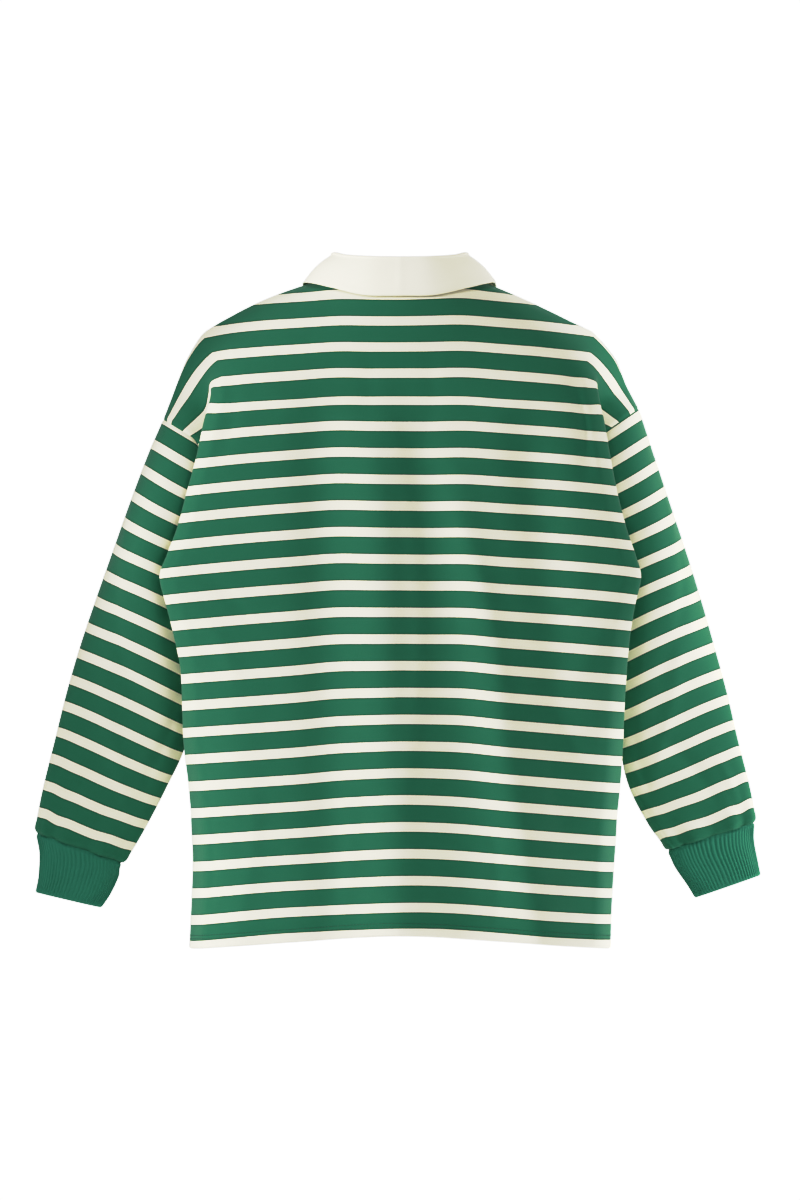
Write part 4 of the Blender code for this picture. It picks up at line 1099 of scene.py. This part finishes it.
# ---- cuffs ---------------------------------------------------------------------------------------
def cuff_cloth(name, side, node, materials):
    columns = RIBS * CUFF_STEPS
    shares = np.unique(np.concatenate([np.linspace(0, 1, CUFF_RINGS), CUFF_ENDS]))
    turns = np.arange(columns) * 360 / columns
    points = as_array([[ring_point(CUFF[side], side, share, turn) for turn in turns] for share in shares])
    normals = surface_normals(points, True, -side)
    t, rib = shares[:, None], turns[None] / 360 * RIBS
    sway = 0.07 * np.sin(t * 5 + turns[None] / 20) * np.sin(math.pi * t)
    wave = 0.5 + 0.5 * np.cos(2 * math.pi * (rib + sway))
    deep = RIB_DEPTH * (0.75 + 0.25 * np.sin(turns[None] / 13.0 + 4 * t))
    relief = -deep * (1 - wave ** 0.7) * np.clip(t / 0.1, 0.35, 1) * np.clip((1 - t) / 0.1, 0.3, 1)
    relief += 0.5 * np.sin(turns[None] / 17.0 + 1.3 * side) * np.sin(math.pi * t)
    relief -= 1.6 * bell(t, 0.035) + 1.0 * bell(1 - t, 0.018)
    outer = points + normals * relief[..., None]
    inner = points - normals * (CUFF_CLOTH + 0.25 * (1 - wave) - 0.8 * bell(1 - t, 0.018))[..., None]
    # The cuff's edge is caught inside the end of the sleeve.
    up = unit(points[0] - points[1]) * 1.8
    outer = np.concatenate([(outer[0] - normals[0] * 1.7 + up)[None], outer])
    inner = np.concatenate([(inner[0] - normals[0] * 1.2 + up)[None], inner])
    normals = np.concatenate([normals[:1], normals])
    wales = np.repeat(turns[None] * 0.56, len(shares) + 1, axis=0)
    courses = np.repeat(np.concatenate([[-0.03], shares])[:, None] * 60, columns, axis=1)
    return shell(name, outer, inner, normals, materials, node, wrap=True,
                 marks={"course": courses, "wale": wales})


# ---- placket and buttons -------------------------------------------------------------------------
def strip_points(front, half_width, end_row, overrun):
    """Points of the front down the slash, evenly across and made longer or shorter at the foot."""
    xs = np.linspace(half_width, -half_width, STRIP_COLUMNS)
    rows = [np.array([point_across(list(line), x) for x in xs]) for line in front[:end_row + 1]]
    foot = rows[-1]
    if overrun > 0:
        step = unit(foot - rows[-2])
        rows += [foot + step * overrun * share for share in (0.25, 0.5, 0.75, 1)]
    else:
        rows[-1] = foot + unit(rows[-2] - foot) * -overrun
    return np.array(rows)


def placket(front, fine_rows, materials):
    """The strip that fills the slash and the one over it; gives the upper strip's face and normals."""
    under = strip_points(front, PLACKET_HALF_WIDTH - SEAM_GAP, fine_rows, -SEAM_GAP)
    normals = surface_normals(under, False, 1)
    shell("placket_under_cloth", under, under - normals * STRIP_CLOTH, normals, materials,
          "placket_under", marks=marks_of(under))
    upper = strip_points(front, PLACKET_HALF_WIDTH + PLACKET_OVERLAP, fine_rows, PLACKET_TAIL)
    normals = surface_normals(upper, False, 1)
    down = lengths(upper, 0)
    edge = np.minimum(from_sides(lengths(upper, 1)), down[-1:] - down)
    relief = SEAM_GAP + JERSEY_WALL + STRIP_AIR - 0.5 * bell(edge, 0.9)
    relief -= 0.25 * bell(edge - PLACKET_STITCH, 0.8)
    relief += 0.18 * np.sin(down / 8.5) * bell(edge - 6, 6)
    face = upper + normals * relief[..., None]
    back = upper + normals * 0.35
    shell("placket_upper_cloth", face, back, normals, materials, "placket_upper",
          marks=marks_of(upper))
    return face, normals


def marks_of(points):
    return {"course": lengths(points, 0), "wale": lengths(points, 1)}


def placket_runs(face, normals):
    """Stitching along both edges of the upper strip, across its foot and in a box above it."""
    across, down = lengths(face, 1), lengths(face, 0)
    middle, last = face.shape[1] // 2, face.shape[1] - 1

    def run(places):
        """The points and normals of a line through places, each a share across and a row."""
        line = []
        for share, row in places:
            low, t = int(share * last), share * last - int(share * last)
            high = min(low + 1, last)
            line.append([grid[row, low] * (1 - t) + grid[row, high] * t for grid in (face, normals)])
        return tuple(np.array(line).swapaxes(0, 1))

    inset = PLACKET_STITCH / across[0, -1]
    left, right = inset, 1 - inset
    bottom, box_top = (int(np.searchsorted(down[:, middle], down[-1, middle] - above))
                       for above in (PLACKET_STITCH, STITCH_BOX))
    box = bottom - box_top
    runs = [run([(share, row) for row in range(2, bottom + 1)]) for share in (left, right)]
    runs += [run([(share, row) for share in np.linspace(left, right, 9)]) for row in (bottom, box_top)]
    runs += [run([(start + (end - start) * k / box, box_top + k) for k in range(box + 1)])
             for start, end in ((left, right), (right, left))]
    return runs


def button_mesh(name):
    """A four-hole button: a turned disc with a raised rim and a dished middle, drilled."""
    mesh = bmesh.new()
    rings = []
    for radius, height in BUTTON_SECTION:
        angles = [2 * math.pi * k / BUTTON_SEGMENTS for k in range(BUTTON_SEGMENTS if radius else 1)]
        rings.append([mesh.verts.new((radius * math.cos(angle), radius * math.sin(angle), height))
                      for angle in angles])
    for low, high in zip(rings, rings[1:]):
        for k in range(BUTTON_SEGMENTS):
            corners = [ring[(k + step) % len(ring)]
                       for ring, step in ((low, 0), (low, 1), (high, 1), (high, 0))]
            mesh.faces.new(list(dict.fromkeys(corners)))
    bmesh.ops.recalc_face_normals(mesh, faces=mesh.faces)
    data = bpy.data.meshes.new(name)
    mesh.to_mesh(data)
    mesh.free()
    cutter = bmesh.new()
    for x in (-HOLE_AT, HOLE_AT):
        for y in (-HOLE_AT, HOLE_AT):
            made = bmesh.ops.create_cone(cutter, cap_ends=True, segments=12, radius1=HOLE_RADIUS,
                                         radius2=HOLE_RADIUS, depth=6)
            bmesh.ops.translate(cutter, verts=made["verts"], vec=(x, y, 0))
    holes = bpy.data.meshes.new(name + "_holes")
    cutter.to_mesh(holes)
    cutter.free()
    body, tool = in_scene("drilled", data), in_scene("drill", holes)
    drill = body.modifiers.new("holes", "BOOLEAN")
    drill.object = tool
    drill.operation = "DIFFERENCE"
    drilled = bpy.data.meshes.new_from_object(body.evaluated_get(bpy.context.evaluated_depsgraph_get()))
    for item in (body, tool):
        bpy.data.objects.remove(item)
    return drilled


def buttons(face, normals, button_material, thread):
    """The three sewn-on buttons, each in its worked buttonhole."""
    middle = face.shape[1] // 2
    base = button_mesh("button")
    for name, row in zip(("button_top", "button_middle", "button_lower"), BUTTON_ROWS):
        here, up = (Vector(grid[fine_row(row), middle]) for grid in (face, normals))
        mesh = base.copy()
        place = up.to_track_quat("Z", "Y").to_matrix().to_4x4()
        place.translation = here + up * BUTTON_LIFT
        mesh.transform(place)
        for vertex in mesh.vertices:
            vertex.co *= MM
        mesh.shade_smooth()
        mesh.set_sharp_from_angle(angle=math.radians(SHARP_BUTTON))
        link(name + "_disc", mesh, [button_material], name)
        sewing(name + "_thread", place, thread)
        buttonhole(name + "_hole", place, thread)


def sewing(name, place, material):
    """Two pairs of thread through a button's holes."""
    loop = ((-1.3, -0.5), (-1.0, 0.45), (0, 0.62), (1.0, 0.45), (1.3, -0.5))
    runs = [as_line(place @ Vector((x + offset, y, z)) for y, z in loop)
            for x in (-HOLE_AT, HOLE_AT) for offset in (-0.22, 0.22)]
    tubes(name, runs, 0.2, material)


def buttonhole(name, place, material):
    """The worked edge of a buttonhole that runs past the button on both sides, down the strip."""
    runs = []
    for side in (-1, 1):
        for k in range(BUTTONHOLE_STITCHES):
            y = -BUTTONHOLE_LENGTH / 2 + BUTTONHOLE_LENGTH * k / (BUTTONHOLE_STITCHES - 1)
            line = ((side * 0.15, y, -1.25), (side * 0.75, y, -1.02), (side * 1.35, y, -1.3))
            runs.append(as_line(place @ Vector(point) for point in line))
    tubes(name, runs, 0.24, material)


# ---- collar --------------------------------------------------------------------------------------
def tree_of(face, outwards):
    """A search tree over a cloth's outer face, its normals out of the cloth."""
    rows, columns = face.shape[:2]
    i, j = np.meshgrid(np.arange(rows - 1), np.arange(columns - 1), indexing="ij")
    a = (i * columns + j).ravel()
    ring = np.stack([a, a + columns, a + columns + 1, a + 1], axis=1)
    if outwards < 0:
        ring = ring[:, ::-1]
    return BVHTree.FromPolygons([Vector(p) for p in face.reshape(-1, 3)], ring.tolist())


def seated(point, trees, need):
    """The point, moved out where the collar would sink into the shirt under it."""
    for _ in range(3):
        for tree in trees:
            nearest, normal, _, _ = tree.find_nearest(point)
            height = (point - nearest).dot(normal)
            aside = (point - nearest - normal * height).length
            if height < need and aside < need:
                point = point + normal * (need - height)
    return point


def collar_section(turn, side, trees):
    """Visible face of the collar in one section: up the stand, over the fold and down the fall."""
    fold, edge = (Vector([read(COLLAR, f"{line}_{axis}", turn) for axis in "xyz"])
                  for line in ("fold", "edge"))
    fold.x *= side
    edge.x *= side
    foot = neck_point(turn, side)
    out = Vector((edge.x - fold.x, edge.y - fold.y, 0)).normalized()
    centre = fold - Vector((0, 0, FOLD_RADIUS))
    stand, start = centre - out * FOLD_RADIUS, centre + out * FOLD_RADIUS
    foot = foot - out * 1.6 + Vector((0, 0, 0.8))
    points = [foot, foot.lerp(stand, 0.35), foot.lerp(stand, 0.7), stand]
    for angle in FOLD_TURNS:
        c, s = math.cos(math.radians(angle)), math.sin(math.radians(angle))
        points.append(centre - out * FOLD_RADIUS * c + Vector((0, 0, FOLD_RADIUS * s)))
    points.append(start)
    for share in (0.15, 0.3, 0.5, 0.7, 0.85, 0.95, 1.0):
        bulge = COLLAR_BULGE * math.sin(math.pi * share)
        wave = 0.7 * math.sin(math.radians(turn) * 5 * side + 1.1) * share
        point = start.lerp(edge, share) + out * (bulge + wave) + Vector((0, 0, bulge))
        points.append(seated(point, trees, COLLAR_REST + COLLAR_CLOTH))
    return points


def collar_cloth(trees, materials):
    turns = np.concatenate([np.linspace(0, 90, 25), np.linspace(90, COLLAR_END, 25)])
    turns = sorted(set(np.round(turns, 3)))
    around = [(turn, LEFT) for turn in reversed(turns)] + [(turn, RIGHT) for turn in turns[1:]]
    coarse = as_array([collar_section(turn, side, trees) for turn, side in around]).swapaxes(0, 1)
    rows = places(coarse.shape[0], 4, end=(0.06, 0.14))
    columns = places(coarse.shape[1], 3, start=(0.07, 0.16), end=(0.07, 0.16))
    points = refined(coarse, rows, columns)
    normals = surface_normals(points, False, collar_flip(points))
    across, down = lengths(points, 1), lengths(points, 0)
    edge = np.minimum(from_sides(across), down[-1:] - down)
    relief = 0.25 * bell(edge - 4, 3) - 0.6 * bell(edge, 1.0)
    outer = points + normals * relief[..., None]
    inner = points - normals * (COLLAR_CLOTH - 0.5 * bell(edge, 1.0))[..., None]
    return shell("collar_cloth", outer, inner, normals, materials, "collar",
                 marks={"course": down, "wale": across})


def collar_flip(points):
    """The sign that turns the grid's normals out of the collar's visible face."""
    rows, columns = points.shape[:2]
    normals = surface_normals(points, False, 1)
    return 1 if normals[rows - 6, columns // 2][1] > 0 else -1


# ---- materials -----------------------------------------------------------------------------------
class Shader:
    """A material's node tree, with short calls for the nodes used here."""

    def __init__(self, name):
        self.material = bpy.data.materials.new(name)
        self.material.use_nodes = True
        self.tree = self.material.node_tree
        self.surface = self.tree.nodes["Principled BSDF"]

    def node(self, kind, inputs=None, **settings):
        made = self.tree.nodes.new("ShaderNode" + kind)
        for key, value in settings.items():
            setattr(made, key, value)
        self.feed(made, inputs or {})
        return made

    def feed(self, node, inputs):
        """Links or sets a node's inputs, by their names or numbers."""
        for key, value in inputs.items():
            if isinstance(value, bpy.types.NodeSocket):
                self.tree.links.new(value, node.inputs[key])
            else:
                node.inputs[key].default_value = value

    def math(self, operation, *values):
        return self.node("Math", dict(enumerate(values)), operation=operation).outputs[0]

    def mark(self, name):
        return self.node("Attribute", attribute_name=name).outputs["Fac"]

    def cloth_place(self):
        """Coordinates on the cloth in millimetres: across the wales and down the courses."""
        return self.node("CombineXYZ", {"X": self.mark("wale"), "Y": self.mark("course")}).outputs[0]

    def noise(self, vector, scale, detail=2.0, roughness=0.5):
        return self.node("TexNoise", {"Vector": vector, "Scale": scale, "Detail": detail,
                                      "Roughness": roughness}).outputs["Fac"]

    def varied(self, vector, by, least, *noise):
        """A number that wanders with a noise, from the least up by as much as by."""
        return self.math("MULTIPLY_ADD", self.noise(vector, *noise), by, least)

    def plain(self, colour):
        made = self.node("RGB")
        made.outputs[0].default_value = (*colour, 1.0)
        return made.outputs[0]

    def ramp(self, value, stops):
        made = self.node("ValToRGB", {"Fac": value})
        made.color_ramp.interpolation = "LINEAR"
        elements = made.color_ramp.elements
        while len(elements) < len(stops):
            elements.new(1.0)
        for element, (place, colour) in zip(elements, stops):
            element.position = place
            element.color = (*colour, 1.0)
        return made.outputs["Color"]

    def shaded(self, colour, factor):
        """The colour times a number that varies about one."""
        grey = self.node("CombineXYZ", {"X": factor, "Y": factor, "Z": factor}).outputs[0]
        made = self.node("Mix", {"Factor": 1.0}, data_type="RGBA", blend_type="MULTIPLY")
        self.tree.links.new(colour, made.inputs[6])
        self.tree.links.new(grey, made.inputs[7])
        return made.outputs[2]

    def bump(self, height, strength, distance, normal=None):
        inputs = {"Height": height, "Strength": strength, "Distance": distance * MM}
        if normal:
            inputs["Normal"] = normal
        return self.node("Bump", inputs).outputs["Normal"]

    def finish(self, colour, roughness, normal, sheen=0.0, sheen_tint=(1, 1, 1), specular=0.3):
        settings = {"Base Color": colour, "Roughness": roughness, "Specular IOR Level": specular,
                    "Sheen Weight": sheen, "Sheen Roughness": 0.45, "Sheen Tint": (*sheen_tint, 1.0)}
        if normal:
            settings["Normal"] = normal
        self.feed(self.surface, settings)
        return self.material

    def cloth(self, place, colour, weave, broad, fine, woven, uneven, rough, sheen, tint, specular):
        """Finishes a cloth: its colour with a broad and a fine mottle, its weave and a low unevenness."""
        mottle = self.math("MULTIPLY", self.varied(place, *broad), self.varied(place, *fine))
        noise, strength, distance = uneven
        normal = self.bump(self.noise(place, *noise), strength, distance, self.bump(weave, *woven))
        return self.finish(self.shaded(colour, mottle), self.varied(place, *rough), normal, sheen, tint,
                           specular)


def linear(red, green, blue):
    """A colour given by its screen values from 0 to 255, for the shader."""
    return tuple(c / 255 / 12.92 if c < 11 else ((c / 255 + 0.055) / 1.055) ** 2.4
                 for c in (red, green, blue))


GREEN_JERSEY, GREEN_EDGE, GREEN_LINE = linear(31, 104, 76), linear(17, 82, 57), linear(36, 110, 81)
CREAM_JERSEY, CREAM_LINE, CREAM_EDGE = linear(236, 231, 205), linear(227, 221, 194), linear(246, 234, 210)
# The cotton's cream is whiter than the jersey's: partly its own colour, partly painted light that stands in
# for the light from above on the collar.
GREEN_RIB_WITH_PAINTED_LIGHT, CREAM_COTTON_WITH_PAINTED_LIGHT, CREAM_THREAD = linear(38, 117, 92), linear(253, 247, 220), linear(236, 230, 212)
GREEN_THREAD, BUTTON_CREAM = linear(22, 84, 61), linear(232, 228, 214)
WALE, COURSE = 1.1, 0.85                    # of the jersey, in millimetres
RIB_COURSE, TWILL = 1.0, 0.9                # of the rib and the cotton
# Of each cloth: the mottles and the roughness as what a noise adds, the least, and the noise's scale, detail
# and roughness; the weave's bump as strength and height; the unevenness as a noise, its strength and height.
JERSEY_LOOK = dict(
    broad=(0.10, 0.95, 0.035, 3.0), fine=(0.36, 0.82, 0.9, 3.0, 0.75), woven=(0.25, 0.12),
    uneven=((0.5, 4.0, 0.65), 0.22, 0.35), rough=(0.12, 0.8, 0.3, 2.0), sheen=0.18, tint=(0.75, 0.95, 0.85),
    specular=0.22)
RIB_LOOK = dict(
    broad=(0.14, 0.93, 0.05, 2.0), fine=(0.2, 0.9, 1.8, 2.0, 0.7), woven=(0.2, 0.1),
    uneven=((0.7, 3.0, 0.6), 0.25, 0.3), rough=(0.1, 0.82, 0.4, 2.0), sheen=0.2, tint=(0.7, 0.95, 0.85),
    specular=0.22)
COTTON_LOOK = dict(
    broad=(0.05, 0.975, 0.03, 3.0), fine=(0.05, 0.975, 1.5, 2.0, 0.6), woven=(0.15, 0.08),
    uneven=((0.35, 4.0, 0.6), 0.2, 0.35), rough=(0.1, 0.78, 0.2, 2.0), sheen=0.1, tint=(1, 0.98, 0.92),
    specular=0.25)
# The stripes' ramp from the middle of an off-white band to the middle of a green one.
STRIPE_STOPS = (
    (0.0, CREAM_JERSEY), (0.165, CREAM_JERSEY), (0.185, CREAM_LINE), (0.205, CREAM_JERSEY),
    (0.285, CREAM_JERSEY), (0.329, CREAM_EDGE), (0.346, CREAM_EDGE), (0.356, GREEN_EDGE), (0.41, GREEN_EDGE),
    (0.47, GREEN_JERSEY), (0.60, GREEN_JERSEY), (0.62, GREEN_LINE), (0.64, GREEN_JERSEY), (1.0, GREEN_JERSEY),
)


def striped_jersey(name, reverse):
    """Knitted-in stripes: off-white bands on green, with a worked edge and a thin line inside each band."""
    s = Shader(name)
    place = s.cloth_place()
    ragged = s.math("MULTIPLY", s.math("SUBTRACT", s.noise(place, 0.9, 1.0), 0.5), 0.03)
    turn = s.math("SUBTRACT", s.math("FRACT", s.math("ADD", s.mark("stripe"), 0.5)), 0.5)
    away = s.math("ADD", s.math("MULTIPLY", s.math("ABSOLUTE", turn), 2.0), ragged)
    wale = s.math("MULTIPLY", s.mark("wale"), 2 * math.pi / WALE)
    course = s.math("MULTIPLY", s.mark("course"), 2 * math.pi / COURSE)
    lean = s.math("MULTIPLY", s.math("ABSOLUTE", s.math("SINE", s.math("MULTIPLY", wale, 0.5))), 2.2)
    loops = s.math("SINE", s.math("ADD", course, s.math("MULTIPLY", lean, -1.0 if reverse else 1.0)))
    ribs = s.math("COSINE", wale)
    rib_share, loop_share = (0.2, 0.7) if reverse else (0.6, 0.4)
    height = s.math("MULTIPLY_ADD", ribs, rib_share, s.math("MULTIPLY", loops, loop_share))
    return s.cloth(place, s.ramp(away, STRIPE_STOPS), height, **JERSEY_LOOK)


def rib_jersey(name):
    s = Shader(name)
    course = s.math("SINE", s.math("MULTIPLY", s.mark("course"), 2 * math.pi / RIB_COURSE))
    # The rib's green is lighter than the jersey's: partly its own colour, partly painted light that makes up
    # for the dimmer light and the ribs' shade on the cuffs.
    return s.cloth(s.cloth_place(), s.plain(GREEN_RIB_WITH_PAINTED_LIGHT), course, **RIB_LOOK)


def cream_cotton(name, twill):
    """Plain off-white cotton with a very fine diagonal twill; its colour is partly the cotton's own and
    partly painted light.
    """
    s = Shader(name)
    slant = s.math("ADD", s.mark("wale"), s.math("MULTIPLY", s.mark("course"), twill))
    rows = s.math("SINE", s.math("MULTIPLY", slant, 2 * math.pi / TWILL))
    return s.cloth(s.cloth_place(), s.plain(CREAM_COTTON_WITH_PAINTED_LIGHT), rows, **COTTON_LOOK)


def thread(name, colour):
    """Twisted sewing thread."""
    s = Shader(name)
    place = s.node("TexCoord").outputs["Object"]
    twist = s.node("TexWave", {"Vector": place, "Scale": 900.0, "Distortion": 2.0},
                   bands_direction="DIAGONAL")
    shade = s.math("MULTIPLY_ADD", twist.outputs["Fac"], 0.3, 0.82)
    return s.finish(s.shaded(s.plain(colour), shade), 0.6, s.bump(twist.outputs["Fac"], 0.4, 0.08), 0.1)


def button_plastic(name):
    s = Shader(name)
    place = s.node("TexCoord").outputs["Object"]
    cloud = s.noise(place, 260.0, 3.0, 0.6)
    colour = s.shaded(s.plain(BUTTON_CREAM), s.math("MULTIPLY_ADD", cloud, 0.12, 0.94))
    normal = s.bump(s.noise(place, 1500.0, 2.0), 0.1, 0.05)
    return s.finish(colour, s.math("MULTIPLY_ADD", cloud, 0.2, 0.34), normal, 0.0, (1, 1, 1), 0.5)


# ---- studio --------------------------------------------------------------------------------------
PIXEL = 1.06                                # millimetres to a pixel of the frame, at the shirt
FRAME_HEIGHT, FRAME_MIDDLE = 1200 * PIXEL, (278 - 600) * PIXEL
CAMERA_AWAY, CAMERA_PLANE = 14000.0, 45.0   # from the plane of the shirt's back that has this scale
SENSOR = 36
FLOOR, FLOOR_RADIUS = -1060.0, 1750.0
FLOOR_GREY, FLOOR_GLOW = (0.93, 0.93, 0.93), 0.25
WHITE = (1, 1, 1, 1)
WORLD_LIGHT = 0.04
# The camera's tone curve: straight in the darks, and bent over in the lights up to full white.
TONE_WHITE = 1.4
TONE = ((0.1, 0.1), (0.2, 0.21), (0.36, 0.49), (0.50, 0.67), (0.66, 0.76), (0.88, 0.84), (1.15, 0.91))
MIDDLE_OF_SHIRT = (0, 0, -0.35)
# Lamps: name, place, what they point at, size, power, and half the angle of the cone of one with a hard edge.
LAMPS = (
    ("key", (7.38, 2.83, 0.90), (-0.383, 4.736, -0.35), (0.04,), 1640, 35),
    ("side", (3.67, 0.98, 0.4), MIDDLE_OF_SHIRT, (0.8, 2.0), 45, 0),
    ("rim", (-7.73, 2.07, 0.60), (-2.60, -4.07, -0.35), (0.04,), 2150, 35),
    ("edge", (-3.94, -0.69, 0.3), MIDDLE_OF_SHIRT, (1.0, 2.0), 52, 0),
    ("fill", (-2.3, 3.3, 0.6), MIDDLE_OF_SHIRT, (1.4, 2.0), 28, 0),
    ("top", (0.2, 2.4, 2.6), MIDDLE_OF_SHIRT, (2.2, 1.2), 42, 0),
    ("front", (-0.6, -3.6, 0.5), MIDDLE_OF_SHIRT, (2.4, 2.0), 60, 0),
)


def make_camera():
    lens = bpy.data.cameras.new("camera")
    camera = in_scene("camera", lens)
    lens.sensor_fit = "VERTICAL"
    lens.sensor_height = SENSOR
    lens.lens = SENSOR * CAMERA_AWAY / FRAME_HEIGHT
    lens.clip_end = 100
    camera.location = Vector((0, CAMERA_PLANE + CAMERA_AWAY, FRAME_MIDDLE)) * MM
    camera.rotation_euler = (math.pi / 2, 0, math.pi)
    bpy.context.scene.camera = camera


def make_floor():
    disc = bmesh.new()
    bmesh.ops.create_circle(disc, cap_ends=True, segments=128, radius=FLOOR_RADIUS * MM)
    data = bpy.data.meshes.new("floor")
    disc.to_mesh(data)
    disc.free()
    floor = in_scene("floor", data)
    floor.location = (0, 0, FLOOR * MM)
    s = Shader("pale_floor")
    place = s.node("TexCoord").outputs["Object"]
    s.finish(s.shaded(s.plain(FLOOR_GREY), s.varied(place, 0.02, 0.99, 3.0)), 0.9, None, specular=0.1)
    s.feed(s.surface, {"Emission Color": WHITE, "Emission Strength": FLOOR_GLOW})
    data.materials.append(s.material)


def make_lamps():
    for name, place, aim, size, power, cone in LAMPS:
        lamp = bpy.data.lights.new(name, "SPOT" if cone else "AREA")
        if cone:
            lamp.spot_size, lamp.spot_blend = math.radians(2 * cone), 0.02
            lamp.shadow_soft_size = size[0]
        else:
            lamp.shape = "RECTANGLE"
            lamp.size, lamp.size_y = size
        lamp.energy = power
        made = in_scene(name, lamp)
        made.location = place
        made.rotation_euler = (Vector(aim) - Vector(place)).to_track_quat("-Z", "Y").to_euler()


def make_world():
    """A white background for the camera, which lights the shirt only a little."""
    world = bpy.data.worlds.new("studio")
    bpy.context.scene.world = world
    world.use_nodes = True
    nodes, links = world.node_tree.nodes, world.node_tree.links
    seen, lights = nodes.new("ShaderNodeBackground"), nodes["Background"]
    for background, strength in ((seen, TONE_WHITE + 0.02), (lights, WORLD_LIGHT)):
        background.inputs["Color"].default_value = WHITE
        background.inputs["Strength"].default_value = strength
    mix, path = nodes.new("ShaderNodeMixShader"), nodes.new("ShaderNodeLightPath")
    links.new(path.outputs["Is Camera Ray"], mix.inputs["Fac"])
    links.new(lights.outputs[0], mix.inputs[1])
    links.new(seen.outputs[0], mix.inputs[2])
    links.new(mix.outputs[0], nodes["World Output"].inputs["Surface"])


def set_tone():
    view = bpy.context.scene.view_settings
    view.view_transform = "Standard"
    view.use_curve_mapping = True
    tone = view.curve_mapping
    tone.white_level = (TONE_WHITE, TONE_WHITE, TONE_WHITE)
    for light, shown in TONE:
        tone.curves[3].points.new(light / TONE_WHITE, shown)
    tone.update()


# ---- the shirt -----------------------------------------------------------------------------------
def main():
    make_camera()
    make_floor()
    make_lamps()
    make_world()
    set_tone()
    jersey = [striped_jersey("striped_jersey", False), striped_jersey("striped_jersey_reverse", True)]
    rib = rib_jersey("rib_jersey")
    cotton, placket_cotton = cream_cotton("collar_cotton", 0.9), cream_cotton("placket_cotton", -0.9)
    cream_thread, green_thread = thread("cream_thread", CREAM_THREAD), thread("green_thread", GREEN_THREAD)
    plastic = button_plastic("button_plastic")

    back, back_face, back_normals, back_hem = panel_cloth(
        "back_cloth", BACK, CREASES_BACK, "back_panel", jersey)
    front, front_face, front_normals, front_hem = panel_cloth(
        "front_cloth", FRONT, CREASES_FRONT, "front_panel", jersey)
    back_seam = stitched("back_hem_stitches", hem_runs(back_face, back_normals, back_hem), green_thread)
    front_seam = stitched("front_hem_stitches", hem_runs(front_face, front_normals, front_hem), green_thread)
    strip, strip_normals = placket(front_face, fine_row(PLACKET_ROWS), [placket_cotton])
    strip_seam = stitched("placket_stitches", placket_runs(strip, strip_normals), cream_thread,
                          length=2.2, gap=0.7, radius=0.28)
    buttons(strip, strip_normals, plastic, cream_thread)
    trees = [tree_of(back_face, BACK), tree_of(front_face, FRONT), tree_of(strip, FRONT)]
    collar = collar_cloth(trees, [cotton])
    sleeves = {side: sleeve_cloth(f"sleeve_{side_name(side)}_cloth", side, f"sleeve_{side_name(side)}",
                                  jersey) for side in (LEFT, RIGHT)}
    cuffs = {side: cuff_cloth(f"cuff_{side_name(side)}_cloth", side, f"cuff_{side_name(side)}", [rib])
             for side in (LEFT, RIGHT)}


main()
